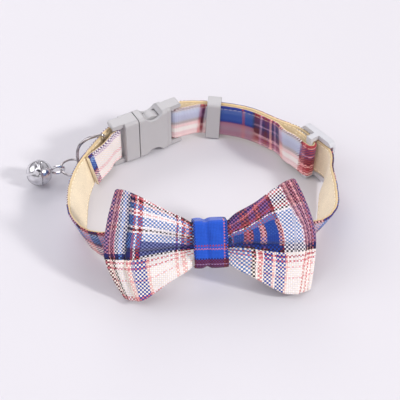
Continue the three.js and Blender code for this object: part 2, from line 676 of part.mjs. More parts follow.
// Knot: a band wrapped round the bow's middle and the strap, with one pleat down its face
function knotSolid() {
  const inFront = BUNDLE / 2 + SIDE_CLEARANCE;
  const inBack = -BUNDLE / 2 - 2 * CLEARANCE - STRAP_THICKNESS - KNOT_SLACK;
  const ring = (grow, dip) => ringPoints(
    inBack - grow,
    inFront + grow - dip,
    -slotHalf - grow,
    slotHalf + grow,
    0.5 + grow,
  );
  const pleatWidth = KNOT_WIDTH * 0.09;
  const steps = 12;
  const rows = [];
  for (let i = 0; i <= steps; i += 1) {
    const x = (i / steps - 0.5) * KNOT_WIDTH;
    const dip = KNOT_PLEAT * Math.exp(-(((x + pleatWidth) / pleatWidth) ** 2));
    const hem = KNOT_HEM * Math.abs((2 * x) / KNOT_WIDTH) ** 6;
    rows.push({ x, outer: ring(KNOT_WALL - hem, dip), inner: ring(0, 0) });
  }
  const point = (x, p) => new THREE.Vector3(x, p.x, p.y);
  const loops = [
    ...rows.map(({ x, outer }) => outer.map((p) => point(x, p))),
    ...rows.slice().reverse().map(({ x, inner }) => inner.map((p) => point(x, p))),
  ];
  return loft(loops, true);
}

// D-ring, jump ring and bell

const D_SIDES = 8;
const bellRest = BELL_RADIUS + BELL_SEAM / 2;   // the bell lies on its seam
const dHalf = (STRAP_WIDTH + D_SLACK + D_WIRE) / 2;

function dRingFrame() {
  const frame = strapFrame(distanceOf('d_ring'));
  const centre = frame.middle.clone().addScaledVector(frame.outward, -foldSpacing / 2);
  centre.z = dHalf + D_WIRE / 2 + 0.1;
  const outward = new THREE.Vector3(Math.cos(radians(D_SWING)), Math.sin(radians(D_SWING)), 0);
  return { centre, outward };
}

// A point of the ring's wire, a squarish half loop: angle 0 is its far point and 90 the top of its bar
function dRingPoint({ centre, outward }, degrees) {
  const angle = radians(degrees);
  const squareness = 0.74;
  const out = Math.abs(Math.cos(angle)) ** squareness;
  const rise = Math.sign(Math.sin(angle)) * Math.abs(Math.sin(angle)) ** squareness;
  return centre.clone().addScaledVector(outward, out * D_REACH).addScaledVector(UP, rise * dHalf);
}

function dRingSolid() {
  const frame = dRingFrame();
  const steps = 24;
  const points = [];
  for (let i = 0; i <= steps; i += 1) {
    points.push(dRingPoint(frame, 90 - (180 * i) / steps));
  }
  const barSteps = 6;
  for (let i = 1; i < barSteps; i += 1) {
    points.push(frame.centre.clone().addScaledVector(UP, dHalf * ((2 * i) / barSteps - 1)));
  }
  return wireLoop(points, D_WIRE / 2, D_SIDES);
}

// The line from the D-ring's wire to the bell, and the two directions square to it
function chainFrame() {
  const frame = dRingFrame();
  const link = dRingPoint(frame, D_LINK_ANGLE);
  const wireAlong = dRingPoint(frame, D_LINK_ANGLE + 3).sub(dRingPoint(frame, D_LINK_ANGLE - 3)).normalize();
  const jumpOffset = JUMP_RADIUS - (JUMP_WIRE + D_WIRE) / 2 - CLEARANCE;
  const loopEnd = BELL_RADIUS + BELL_LOOP_REACH - BELL_LOOP_WIRE / 2;
  const loopInside = loopEnd - (BELL_LOOP_WIRE + JUMP_WIRE) / 2 - CLEARANCE;
  const length = jumpOffset + JUMP_RADIUS + loopInside;
  const drop = link.z - bellRest;
  const level = Math.sqrt(length * length - drop * drop);
  const toBell = frame.outward.clone().multiplyScalar(level).addScaledVector(UP, -drop).normalize();
  const normal = wireAlong.addScaledVector(toBell, -wireAlong.dot(toBell)).normalize();
  const side = new THREE.Vector3().crossVectors(normal, toBell);
  return {
    toBell,
    normal,
    side,
    jumpCentre: link.clone().addScaledVector(toBell, jumpOffset),
    bellCentre: link.clone().addScaledVector(toBell, length),
    loopEnd,
  };
}

function jumpRingSolid({ jumpCentre, toBell, side }) {
  const steps = 16;
  const points = Array.from({ length: steps }, (_, i) => {
    const angle = (2 * Math.PI * i) / steps;
    return jumpCentre.clone()
      .addScaledVector(toBell, JUMP_RADIUS * Math.cos(angle))
      .addScaledVector(side, JUMP_RADIUS * Math.sin(angle));
  });
  return wireLoop(points, JUMP_WIRE / 2, 6);
}

// Bell with its loop on +X and its crossed slits on -X
function bellSolid(loopEnd) {
  const ball = (radius) => new THREE.SphereGeometry(radius, 24, 16).rotateZ(Math.PI / 2);
  const seam = new THREE.TorusGeometry(BELL_RADIUS - BELL_SEAM / 2, BELL_SEAM, 6, 28).rotateY(Math.PI / 2);
  const loopStart = BELL_RADIUS - BELL_WALL / 2;
  const loopHalf = (loopEnd - loopStart) / 2;
  const loopSteps = 14;
  const loopPoints = Array.from({ length: loopSteps }, (_, i) => {
    const angle = (2 * Math.PI * i) / loopSteps;
    return new THREE.Vector3(
      loopStart + loopHalf + loopHalf * Math.cos(angle),
      0,
      ((BELL_LOOP_WIDTH - BELL_LOOP_WIRE) / 2) * Math.sin(angle),
    );
  });
  const loop = wireLoop(loopPoints, BELL_LOOP_WIRE / 2, 6);
  const slitStart = -BELL_RADIUS * BELL_SLIT_START;
  const blades = [45, -45].map((turn) => block(
    -BELL_RADIUS - 1,
    slitStart,
    -BELL_SLIT / 2,
    BELL_SLIT / 2,
    -BELL_RADIUS - 1,
    BELL_RADIUS + 1,
  ).rotateX(radians(turn)));
  const holes = [45, 135, 225, 315].map((turn) => new THREE.CylinderGeometry(BELL_HOLE, BELL_HOLE, 3, 12)
    .rotateX(Math.PI / 2)
    .translate(slitStart, 0, BELL_RADIUS)
    .rotateX(radians(turn)));
  const shell = cut(join([ball(BELL_RADIUS), seam, loop]), [ball(BELL_RADIUS - BELL_WALL)]);
  return cut(shell, [...blades, ...holes]);
}

// Assembly

const collar = new THREE.Group();

function addPiece(parent, name, geometry, material) {
  const mesh = new THREE.Mesh(geometry, material);
  mesh.name = name;
  parent.add(mesh);
  return mesh;
}

addPiece(collar, 'strap', strapSolid(), plaid);

const buckle = buckleGroup();
collar.add(buckle);
addPiece(buckle, 'buckle_male', toGeometry(maleSolid()), greyPlastic);
addPiece(buckle, 'buckle_female', toGeometry(femaleSolid()), greyPlastic);

const keeperPlace = strapGroup(strapFrame(distanceOf('keeper')));
collar.add(keeperPlace);
addPiece(keeperPlace, 'keeper', keeperSolid(), greyPlastic);

const sliderPlace = strapGroup(strapFrame(distanceOf('slider')));
collar.add(sliderPlace);
addPiece(sliderPlace, 'slider', toGeometry(sliderSolid()), greyPlastic);

const chain = chainFrame();
addPiece(collar, 'd_ring', dRingSolid(), chrome);
addPiece(collar, 'jump_ring', jumpRingSolid(chain), chrome);

const bellPlace = new THREE.Group();
bellPlace.applyMatrix4(new THREE.Matrix4()
  .makeBasis(chain.toBell.clone().negate(), chain.side.clone().negate(), chain.normal)
  .setPosition(chain.bellCentre));
collar.add(bellPlace);
addPiece(bellPlace, 'bell_shell', toGeometry(bellSolid(chain.loopEnd)), chrome);

const pellet = addPiece(collar, 'bell_pellet', new THREE.IcosahedronGeometry(PELLET_RADIUS, 2), chrome);
pellet.position.copy(chain.bellCentre)
  .addScaledVector(UP, -(BELL_RADIUS - BELL_WALL - CLEARANCE - PELLET_RADIUS));

const front = strapFrame(distanceOf('front'));
const bowPlace = new THREE.Group();
bowPlace.applyMatrix4(new THREE.Matrix4()
  .makeBasis(front.along, front.outward.clone().negate(), front.across)
  .setPosition(front.middle.clone().addScaledVector(front.outward, bowOffset)));
collar.add(bowPlace);
addPiece(bowPlace, 'bow', turnedOut(clothSolid(bowSheet(), CLOTH)), bowCloth);
addPiece(bowPlace, 'bow_knot', turnedOut(knotSolid()), knotCloth);

// Mirrors a piece modelled with Y out of the bow's face, whose group has Y into it
function turnedOut(geometry) {
  return faceOut(geometry.scale(1, -1, 1));
}

// The origin is the middle of the underside of the whole collar
collar.updateMatrixWorld(true);
const box = new THREE.Box3().setFromObject(collar, true);
collar.position.set(-(box.min.x + box.max.x) / 2, -(box.min.y + box.max.y) / 2, -box.min.z);

export default collar;
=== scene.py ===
import math

import bmesh
import bpy
import numpy as np
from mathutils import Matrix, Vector


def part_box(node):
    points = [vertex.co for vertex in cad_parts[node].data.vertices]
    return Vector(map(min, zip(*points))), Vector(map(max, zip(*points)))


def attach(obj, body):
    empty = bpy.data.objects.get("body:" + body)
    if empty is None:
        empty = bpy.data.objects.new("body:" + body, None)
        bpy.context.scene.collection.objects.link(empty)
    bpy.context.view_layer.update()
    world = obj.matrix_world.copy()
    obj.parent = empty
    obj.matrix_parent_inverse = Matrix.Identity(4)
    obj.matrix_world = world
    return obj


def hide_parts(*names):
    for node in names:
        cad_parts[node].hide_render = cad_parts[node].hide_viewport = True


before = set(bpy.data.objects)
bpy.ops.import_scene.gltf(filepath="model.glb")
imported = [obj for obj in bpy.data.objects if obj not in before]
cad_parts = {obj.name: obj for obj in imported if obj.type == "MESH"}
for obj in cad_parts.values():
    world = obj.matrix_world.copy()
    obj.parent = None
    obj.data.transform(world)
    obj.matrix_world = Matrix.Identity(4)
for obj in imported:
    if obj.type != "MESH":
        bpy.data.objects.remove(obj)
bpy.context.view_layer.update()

MM = 0.001


# Sizes in millimetres, the same as the solids'

CLEARANCE = 0.3
SIDE_CLEARANCE = 0.4
STRAP_WIDTH = 12
STRAP_THICKNESS = 1.2
LOOP_WIDTH = 81
LOOP_DEPTH = 62
LAYER_SPACING = 1.6
LEFT_FOLD_LENGTH = 14.5
TAIL_LENGTH = 7
RAIL = 1.6
BUCKLE_SPAN = 22
BUCKLE_HEADING = 30
MALE_STRAP_HEADING = 232
FEMALE_STRAP_HEADING = 200
BUCKLE_BAR = 1.3
BUCKLE_LEAD = 3
KEEPER_LENGTH = 4.4
KEEPER_WALL = 0.8
SLIDER_LENGTH = 13.2
SLIDER_HEADING = 129
SLIDER_LEAN = 4
SLIDER_BAR_WIDTH = 2
SLIDER_BAR_THICKNESS = 1
D_WIRE = 1.1
CLOTH = 1
BOW_HALF_LENGTH = 30.4
BOW_HEIGHT = 32.5
BOW_LEAN = -37
BOW_CREASE = 2.2
BOW_PUFF = 3.3
BUNDLE = 4.6
RIGHT_WING_RISE = 1.06
KNOT_WIDTH = 9.8
KNOT_WALL = 1
KNOT_HEM = 0.35
KNOT_SLACK = 0.25

HARDWARE_HEIGHT = STRAP_WIDTH + 2 * (SIDE_CLEARANCE + RAIL)
HALF_HEIGHT = HARDWARE_HEIGHT / 2
SLOT_HALF = STRAP_WIDTH / 2 + SIDE_CLEARANCE
KEEPER_HEIGHT = STRAP_WIDTH + 2 * (CLEARANCE + KEEPER_WALL)
FOLD_SPACING = max(BUCKLE_BAR, D_WIRE) + 2 * CLEARANCE + STRAP_THICKNESS
TAIL_DEPTH = STRAP_THICKNESS + CLEARANCE
SLIDER_FOLD_SPACING = SLIDER_BAR_THICKNESS + 2 * CLEARANCE + STRAP_THICKNESS
SLIDER_FOLD_DEPTH = TAIL_DEPTH + SLIDER_FOLD_SPACING
BOW_OFFSET = STRAP_THICKNESS / 2 + CLEARANCE + BUNDLE / 2
LOW = STRAP_WIDTH / 2


def on_stretch(centre, heading, distance):
    a = math.radians(heading)
    return (centre[0] + distance * math.cos(a) / LOOP_WIDTH,
            centre[1] + distance * math.sin(a) / LOOP_DEPTH)


def beside(bar, heading, distance):
    return on_stretch(on_stretch(bar, heading - 90, FOLD_SPACING / 2), heading, distance)


MALE_BAR = (-0.349, 0.13)
FEMALE_BAR = on_stretch(MALE_BAR, BUCKLE_HEADING, BUCKLE_SPAN)
SLIDER_CENTRE = (0.434, 0.04)
SLIDER_START = on_stretch(SLIDER_CENTRE, SLIDER_HEADING, -SLIDER_LENGTH / 2)
SLIDER_END = on_stretch(SLIDER_CENTRE, SLIDER_HEADING, SLIDER_LENGTH / 2)
LEAN_BACK = math.radians(-BOW_LEAN)
BOW_REST = 0.475 * BOW_HEIGHT + CLOTH / 2
FRONT_HEIGHT = BOW_REST * math.cos(LEAN_BACK) - BOW_OFFSET * math.sin(LEAN_BACK)

# The strap's way round the loop: place, (across, deep) as shares of the loop, height, lean
ROUTE = [
    ("male_bar", beside(MALE_BAR, MALE_STRAP_HEADING, 0), HALF_HEIGHT, 0),
    ("male_lead", beside(MALE_BAR, MALE_STRAP_HEADING, BUCKLE_LEAD), HALF_HEIGHT, 0),
    ("d_ring", (-0.4, 0.07), HALF_HEIGHT - 0.1, 1),
    ("left_back", (-0.435, -0.029), LOW * 1.17, 9),
    ("left_rise", (-0.465, -0.148), LOW * 1.06, 18),
    ("left", (-0.474, -0.295), LOW * 1.02, 24),
    ("left_front", (-0.456, -0.465), LOW * 1.04, 20),
    ("left_corner", (-0.377, -0.584), LOW * 1.2, 12),
    ("behind_left_wing", (-0.185, -0.635), LOW * 1.57, -28),
    ("front", (0.023, -0.622), FRONT_HEIGHT, BOW_LEAN),
    ("behind_right_wing", (0.222, -0.595), LOW * 1.5, -24),
    ("right_corner", (0.401, -0.497), LOW * 1.17, 18),
    ("right_front", (0.46, -0.395), LOW * 1.05, 26),
    ("right", (0.472, -0.274), LOW * 1.02, 24),
    ("right_back", (0.475, -0.15), LOW * 1.12, 15),
    ("slider_start", SLIDER_START, HALF_HEIGHT + 0.1, SLIDER_LEAN),
    ("slider", SLIDER_CENTRE, HALF_HEIGHT + 0.2, SLIDER_LEAN),
    ("slider_end", SLIDER_END, HALF_HEIGHT + 0.1, SLIDER_LEAN),
    ("back_right", (0.296, 0.215), LOW * 1.2, 2),
    ("back_middle", (0.185, 0.31), LOW * 1.2, 1),
    ("keeper", (0.044, 0.36), KEEPER_HEIGHT / 2, 0),
    ("female_lead", beside(FEMALE_BAR, FEMALE_STRAP_HEADING, -BUCKLE_LEAD), HALF_HEIGHT, 0),
    ("female_bar", beside(FEMALE_BAR, FEMALE_STRAP_HEADING, 0), HALF_HEIGHT, 0),
]
PLACES = [row[0] for row in ROUTE]
POINTS = np.array([(row[1][0] * LOOP_WIDTH, row[1][1] * LOOP_DEPTH, row[2]) for row in ROUTE])
LEANS = np.array([row[3] for row in ROUTE], float)
PER_ROW = 40
# Half the stretch over which the strap's direction is read, in rows
DIRECTION_REACH = 0.003


def centripetal(points, at):
    """Point of a centripetal Catmull-Rom curve, at counted in rows."""
    last = len(points) - 1
    i = min(int(at), last - 1)
    w = at - i
    x1, x2 = points[i], points[i + 1]
    x0 = points[i - 1] if i > 0 else 2 * points[0] - points[1]
    x3 = points[i + 2] if i + 2 <= last else 2 * points[last] - points[last - 1]
    d0, d1, d2 = (math.sqrt(np.linalg.norm(b - a)) for a, b in ((x0, x1), (x1, x2), (x2, x3)))
    t1 = ((x1 - x0) / d0 - (x2 - x0) / (d0 + d1) + (x2 - x1) / d1) * d1
    t2 = ((x2 - x1) / d1 - (x3 - x1) / (d1 + d2) + (x3 - x2) / d2) * d1
    return x1 + t1 * w + (-3 * x1 + 3 * x2 - 2 * t1 - t2) * w ** 2 + (2 * x1 - 2 * x2 + t1 + t2) * w ** 3


def catmull_rom(p0, p1, p2, p3, w):
    """Value of a plain Catmull-Rom curve, from p1 at w 0 to p2 at w 1."""
    v0, v1 = (p2 - p0) / 2, (p3 - p1) / 2
    return (2 * p1 - 2 * p2 + v0 + v1) * w ** 3 + (-3 * p1 + 3 * p2 - 2 * v0 - v1) * w ** 2 + v0 * w + p1


def spline(values, at):
    """Value of a plain Catmull-Rom curve, at counted in rows."""
    last = len(values) - 1
    i = min(int(at), last - 1)
    return catmull_rom(values[max(i - 1, 0)], values[i], values[i + 1], values[min(i + 2, last)], at - i)


SAMPLES = (len(ROUTE) - 1) * PER_ROW
curve = np.array([centripetal(POINTS, i / PER_ROW) for i in range(SAMPLES + 1)])
distances = np.concatenate([[0], np.cumsum(np.linalg.norm(np.diff(curve, axis=0), axis=1))])
ROUTE_LENGTH = distances[-1]


def distance_of(place):
    return distances[PLACES.index(place) * PER_ROW]


def unit(v):
    return v / np.linalg.norm(v)


def strap_frame(distance):
    """middle, along, across and outward of the strap's outer layer at a distance along the route."""
    inside = min(max(distance, 0), ROUTE_LENGTH)
    i = min(max(int(np.searchsorted(distances, inside)), 1), SAMPLES)
    part = (inside - distances[i - 1]) / (distances[i] - distances[i - 1])
    at = (i - 1 + part) / PER_ROW
    before, after = max(at - DIRECTION_REACH, 0), min(at + DIRECTION_REACH, len(ROUTE) - 1)
    along = unit(centripetal(POINTS, after) - centripetal(POINTS, before))
    middle = curve[i - 1] * (1 - part) + curve[i] * part + along * (distance - inside)
    level = unit(np.array([along[1], -along[0], 0]))
    upright = unit(np.cross(level, along))
    lean = math.radians(spline(LEANS, at))
    across = upright * math.cos(lean) + level * math.sin(lean)
    outward = level * math.cos(lean) - upright * math.sin(lean)
    return middle, along, across, outward


def smooth_step(value, low, high):
    x = min(max((value - low) / (high - low), 0), 1)
    return x * x * (3 - 2 * x)


# The solid strap's step and chamfer, which set where it lies in the record's frame
SOLID_STEP = 2.2
SOLID_CHAMFER = 0.3
SOLID_FOLD_STEPS = 6
FOLD_STEPS = 12
# Past the tail's end, where the inner layer leaves the slider's fold and where it has closed up
TAIL_RAMP = (1, 9)
# A fold begins this far past the route's end, and the sign says which way it turns
NUDGE = 0.001


def row_shift():
    """From the route's frame to the record's: both hold the strap at the same place."""
    strap_low, strap_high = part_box("strap")
    rows = strap_path(SOLID_STEP)
    half, thick = STRAP_WIDTH / 2, STRAP_THICKNESS / 2
    shoulder = half - SOLID_CHAMFER
    section = [(half, 0), (-half, 0), (shoulder, thick), (shoulder, -thick),
               (-shoulder, thick), (-shoulder, -thick)]
    points = ribbon_points(rows, section).reshape(-1, 3)
    return (np.array(strap_low) / MM + np.array(strap_high) / MM - points.min(0) - points.max(0)) / 2


def strap_path(step):
    """Rows of (middle, across, route distance), from the left fold's end to the tail's."""
    d_at, slider_at, keeper_at = distance_of("d_ring"), distance_of("slider"), distance_of("keeper")
    past_bar = (SLIDER_BAR_WIDTH - SLIDER_BAR_THICKNESS) / 2
    tail_end = slider_at + TAIL_LENGTH
    rows = []

    def place(distance, depth, beyond=0):
        middle, along, across, outward = strap_frame(distance)
        rows.append((middle - outward * depth + along * beyond, across, distance + beyond))

    def run(start, end, depth_at):
        steps = max(2, round(abs(end - start) / step))
        for i in range(steps + 1):
            distance = start + (end - start) * i / steps
            place(distance, depth_at(distance))

    def fold(distance, depth_from, depth_to, beyond):
        radius, centre = abs(depth_to - depth_from) / 2, (depth_from + depth_to) / 2
        steps = SOLID_FOLD_STEPS if step == SOLID_STEP else FOLD_STEPS
        for i in range(1, steps):
            angle = math.pi * i / steps
            depth = centre + (depth_from - depth_to) / 2 * math.cos(angle)
            place(distance, depth, beyond + math.copysign(radius * math.sin(angle), beyond))

    def left_depth(s):
        closed = smooth_step(s, d_at + D_WIRE, LEFT_FOLD_LENGTH)
        return FOLD_SPACING + (LAYER_SPACING - FOLD_SPACING) * closed

    def right_depth(s):
        near_buckle = smooth_step(s, keeper_at + KEEPER_LENGTH, ROUTE_LENGTH - 2 * BUCKLE_BAR)
        near_slider = 1 - smooth_step(s, tail_end + TAIL_RAMP[0], tail_end + TAIL_RAMP[1])
        return (LAYER_SPACING + (FOLD_SPACING - LAYER_SPACING) * near_buckle
                + (SLIDER_FOLD_DEPTH - LAYER_SPACING) * near_slider)

    run(LEFT_FOLD_LENGTH, 0, left_depth)
    fold(0, FOLD_SPACING, 0, -NUDGE)
    run(0, ROUTE_LENGTH, lambda s: 0)
    fold(ROUTE_LENGTH, 0, FOLD_SPACING, NUDGE)
    run(ROUTE_LENGTH, slider_at - past_bar, right_depth)
    fold(slider_at, SLIDER_FOLD_DEPTH, TAIL_DEPTH, -past_bar)
    run(slider_at - past_bar, tail_end, lambda s: TAIL_DEPTH)
    return rows


def ribbon_points(rows, section):
    """Points of a section of (across, outward) pairs, carried along the rows."""
    out = []
    for i, (middle, across, _) in enumerate(rows):
        along = unit(rows[min(i + 1, len(rows) - 1)][0] - rows[max(i - 1, 0)][0])
        face = unit(np.cross(along, across))
        out.append([middle + across * u + face * v for u, v in section])
    return np.array(out)


SHIFT = row_shift()


# Meshes

def add_object(name, data):
    obj = bpy.data.objects.new(name, data)
    bpy.context.scene.collection.objects.link(obj)
    return obj


def make_mesh(name, points, faces, uvs, materials, face_materials=None):
    """An object from points in millimetres in the route's frame.

    uvs holds the UV layers by name, each with a pair for every face corner.
    """
    mesh = bpy.data.meshes.new(name)
    mesh.from_pydata([tuple((np.asarray(p) + SHIFT) * MM) for p in points], [], faces)
    for layer_name, pairs in uvs.items():
        layer = mesh.uv_layers.new(name=layer_name)
        layer.data.foreach_set("uv", np.asarray(pairs, np.float32).reshape(-1))
    for m in materials:
        mesh.materials.append(m)
    if face_materials is not None:
        mesh.polygons.foreach_set("material_index", np.asarray(face_materials, np.int32))
    mesh.shade_smooth()
    mesh.update()
    return add_object(name, mesh)


def turn_out(obj):
    """Turn all faces outward."""
    bm = bmesh.new()
    bm.from_mesh(obj.data)
    bmesh.ops.recalc_face_normals(bm, faces=bm.faces)
    if bm.calc_volume(signed=True) < 0:
        bmesh.ops.reverse_faces(bm, faces=bm.faces)
    bm.to_mesh(obj.data)
    bm.free()


# Shader helpers

# Blender's ramps hold 32 stops
RAMP_STOPS = 31


class Nodes:
    """A material and short ways to add nodes to it. Values may be numbers or sockets."""

    def __init__(self, name):
        self.material = bpy.data.materials.new(name)
        self.material.use_nodes = True
        self.tree = self.material.node_tree
        self.shader = self.tree.nodes["Principled BSDF"]

    def node(self, kind, **settings):
        n = self.tree.nodes.new(kind)
        for key, value in settings.items():
            setattr(n, key, value)
        return n

    def link(self, value, socket):
        if isinstance(value, bpy.types.NodeSocket):
            self.tree.links.new(value, socket)
        else:
            socket.default_value = value

    def math(self, operation, a, b=0.0, c=0.0):
        n = self.node("ShaderNodeMath", operation=operation)
        for value, socket in zip((a, b, c), n.inputs):
            self.link(value, socket)
        return n.outputs[0]

    def set(self, **numbers):
        """Numbers on the shader's own sockets, named with underscores for spaces."""
        for name, value in numbers.items():
            self.shader.inputs[name.replace("_", " ")].default_value = value

    def between(self, value, low, high):
        """1 where the value lies between the two."""
        above, below = self.math("GREATER_THAN", value, low), self.math("LESS_THAN", value, high)
        return self.math("MULTIPLY", above, below)

    def mix(self, share, a, b):
        """From a, at share 0, to b, at share 1. A colour may be a name from the palette."""
        n = self.node("ShaderNodeMix", data_type="RGBA")
        self.link(share, n.inputs[0])
        self.link(a if isinstance(a, bpy.types.NodeSocket) else colour(a), n.inputs[6])
        self.link(b if isinstance(b, bpy.types.NodeSocket) else colour(b), n.inputs[7])
        return n.outputs[2]

    def noise(self, scale, detail):
        n = self.node("ShaderNodeTexNoise")
        n.inputs["Scale"].default_value = scale
        n.inputs["Detail"].default_value = detail
        self.tree.links.new(self.node("ShaderNodeTexCoord").outputs["Object"], n.inputs["Vector"])
        return n.outputs["Fac"]

    def spread(self, scale, detail, span, low):
        """Noise that runs from low to low plus span."""
        return self.math("MULTIPLY_ADD", self.noise(scale, detail), span, low)

    def stripes(self, value, table, low, high):
        """Colours from a table of (start in millimetres, colour name), constant between starts."""
        if len(table) > RAMP_STOPS:
            cut = len(table) // 2
            first = self.stripes(value, table[:cut], low, high)
            second = self.stripes(value, table[cut:], low, high)
            return self.mix(self.math("GREATER_THAN", value, table[cut][0]), first, second)
        n = self.node("ShaderNodeValToRGB")
        ramp = n.color_ramp
        ramp.interpolation = "CONSTANT"
        for i, (start, _) in enumerate(table):
            at = min(max((start - low) / (high - low), 0), 1)
            stop = ramp.elements[i] if i < 2 else ramp.elements.new(at)
            stop.position = at
        for stop, (_, name) in zip(sorted(ramp.elements, key=lambda e: e.position), table):
            stop.color = colour(name)
        self.link(self.math("DIVIDE", self.math("SUBTRACT", value, low), high - low), n.inputs[0])
        return n.outputs[0]

    def bump(self, height, strength, distance, normal=None):
        n = self.node("ShaderNodeBump")
        n.inputs["Strength"].default_value = strength
        n.inputs["Distance"].default_value = distance
        self.tree.links.new(height, n.inputs["Height"])
        if normal is not None:
            self.tree.links.new(normal, n.inputs["Normal"])
        return n.outputs[0]


PALETTE = {
    "royal": (28, 66, 160), "bright": (34, 88, 205), "navy": (34, 36, 96), "blue": (86, 124, 190),
    "sky": (150, 180, 228), "white": (250, 243, 246), "cream": (252, 240, 230), "pink": (242, 182, 180),
    "salmon": (216, 120, 126), "red": (176, 62, 72), "rose": (198, 130, 152), "maroon": (96, 28, 48),
    "dark": (34, 20, 34), "mauve": (190, 150, 190), "plum": (92, 48, 112), "lining": (252, 236, 206),
    "edge_lining": (226, 196, 142), "lining_thread": (255, 246, 226),
}


def colour(value):
    """A linear colour from a palette name, whose values are a screen's up to 255, or from a linear one."""
    if isinstance(value, str):
        value = [((c / 255 + 0.055) / 1.055) ** 2.4 for c in PALETTE[value]]
    return (*value, 1.0)


# Woven stripes, as (start, colour). The bow's are in millimetres along it from its middle, and up it.
# Its lower lobes show other warp stripes than its upper ones.
BOW_UPPER_WARP = [
    (-40, "navy"), (-29.6, "maroon"), (-29.0, "pink"), (-28.5, "maroon"), (-27.7, "salmon"),
    (-27.3, "navy"), (-26.4, "blue"), (-25.6, "navy"), (-23.1, "red"), (-22.3, "white"), (-21.6, "red"),
    (-20.3, "white"), (-10.2, "red"), (-9.4, "white"), (-8.7, "red"), (-7.6, "pink"), (-6.8, "red"),
    (-5.9, "maroon"), (0, "navy"), (4.6, "dark"), (5.2, "navy"), (6.1, "red"), (6.7, "royal"),
    (9.6, "maroon"), (10.4, "red"), (11.2, "dark"), (11.7, "maroon"), (12.3, "royal"), (14.2, "maroon"),
    (14.9, "salmon"), (15.4, "maroon"), (16.2, "royal"), (19.6, "maroon"), (20.5, "red"), (20.9, "white"),
    (26.0, "maroon"), (26.8, "pink"), (27.2, "dark"), (27.6, "maroon"), (28.2, "pink"), (28.6, "dark"),
    (29.0, "maroon"), (29.5, "salmon"), (29.8, "navy"),
]
BOW_LOWER_WARP = [
    (-40, "maroon"), (-29.4, "pink"), (-28.4, "dark"), (-27.2, "white"), (-25.2, "cream"),
    (-23.6, "pink"), (-22.8, "royal"), (-18.3, "pink"), (-17.4, "white"), (-10.0, "pink"),
    (-9.2, "white"), (-8.2, "pink"), (-7.0, "white"), (0, "blue"), (11.3, "dark"), (12.8, "white"),
    (13.4, "salmon"), (14.6, "white"), (15.0, "royal"), (17.2, "pink"), (17.9, "white"), (18.4, "royal"),
    (21.0, "pink"), (21.8, "white"), (26.2, "salmon"), (27.0, "white"), (27.6, "salmon"), (28.4, "white"),
    (29.0, "salmon"), (29.6, "white"),
]
BOW_LEFT_WEFT = [
    (-20, "maroon"), (-15.2, "salmon"), (-13.8, "cream"), (-9.6, "pink"), (-9.2, "cream"),
    (-6.2, "salmon"), (-5.6, "cream"), (-4.6, "salmon"), (-4.0, "cream"), (-3.4, "dark"), (-2.6, "navy"),
    (0.7, "blue"), (5.2, "white"), (5.9, "dark"), (6.7, "white"), (7.4, "blue"), (10.4, "white"),
    (11.0, "pink"), (11.6, "white"), (12.2, "blue"), (13.8, "pink"), (14.4, "dark"), (15.2, "salmon"),
    (15.8, "maroon"),
]
BOW_RIGHT_WEFT = [
    (-20, "pink"), (-16.0, "cream"), (-10.5, "pink"), (-10.0, "cream"), (-7.6, "pink"), (-7.1, "cream"),
    (-6.0, "salmon"), (-5.4, "cream"), (-4.7, "red"), (-4.1, "cream"), (-3.4, "dark"), (-2.6, "navy"),
    (-0.8, "blue"), (9.4, "white"), (10.0, "dark"), (10.7, "red"), (11.5, "maroon"), (12.8, "navy"),
    (14.2, "maroon"), (15.2, "salmon"), (15.9, "navy"),
]
LOBE_SPLIT = -3.4
# The valley along each wing is navy and royal, wider away from the knot: partly a change of yarns and
# partly painted shade for the valley's shadow
VALLEY_LOW, VALLEY_TOP, VALLEY_SPREAD, VALLEY_REACH = -2.6, -0.2, 0.16, 20.3
# Yarns that take another tone over a part: yarn, along from and to, up from and to, share, colour
FAR = 40
END_CHANGES = [
    ("weft", 26, FAR, -1.5, FAR, 0.75, "rose"), ("weft", -FAR, -27.3, -1.5, FAR, 0.75, "rose"),
    ("weft", -27.3, -24.2, -1.5, FAR, 0.8, "white"),
]
RIGHT_CHANGES = [
    ("warp", 4, 20.3, 7.6, FAR, 0.4, "salmon"), ("weft", 4, 6.1, -1.2, 7.6, 0.8, "navy"),
    ("weft", 6.7, 9.6, -1.2, 7.6, 0.8, "royal"), ("weft", 9.6, 12.3, -1.2, 7.6, 0.8, "salmon"),
    ("weft", 12.3, 14.3, -1.2, 7.6, 0.8, "royal"), ("weft", 14.3, 16.2, -1.2, 7.6, 0.8, "pink"),
    ("weft", 16.2, 19.6, -1.2, 7.6, 0.8, "royal"), ("weft", 19.6, 21.2, -1.2, 7.6, 0.8, "pink"),
]
# The strap's are in millimetres from the male half's bar, and across it
STRAP_WARP = [
    (-5, "white"), (12.4, "royal"), (14.2, "navy"), (17, "sky"), (26, "white"), (34, "royal"),
    (38, "mauve"), (43, "navy"), (45.6, "salmon"), (48.2, "navy"), (51, "salmon"), (54, "white"),
    (60, "pink"), (64, "royal"), (92, "white"), (104, "sky"), (112, "pink"), (116, "royal"),
    (124, "blue"), (134, "pink"), (138, "navy"), (146, "maroon"), (148.2, "salmon"), (149.2, "dark"),
    (150.4, "red"), (151.3, "dark"), (151.9, "salmon"), (152.5, "red"), (153.3, "white"), (162.2, "pink"),
    (164.6, "navy"), (166.2, "mauve"), (167.0, "navy"), (168.4, "pink"), (169.0, "plum"),
    (170.2, "maroon"), (171.2, "navy"), (172.6, "mauve"), (173.4, "maroon"), (175.2, "dark"),
    (175.8, "royal"), (179.0, "red"), (179.8, "royal"), (190.0, "white"), (193.6, "maroon"),
    (194.2, "red"), (194.8, "salmon"), (195.2, "white"),
]
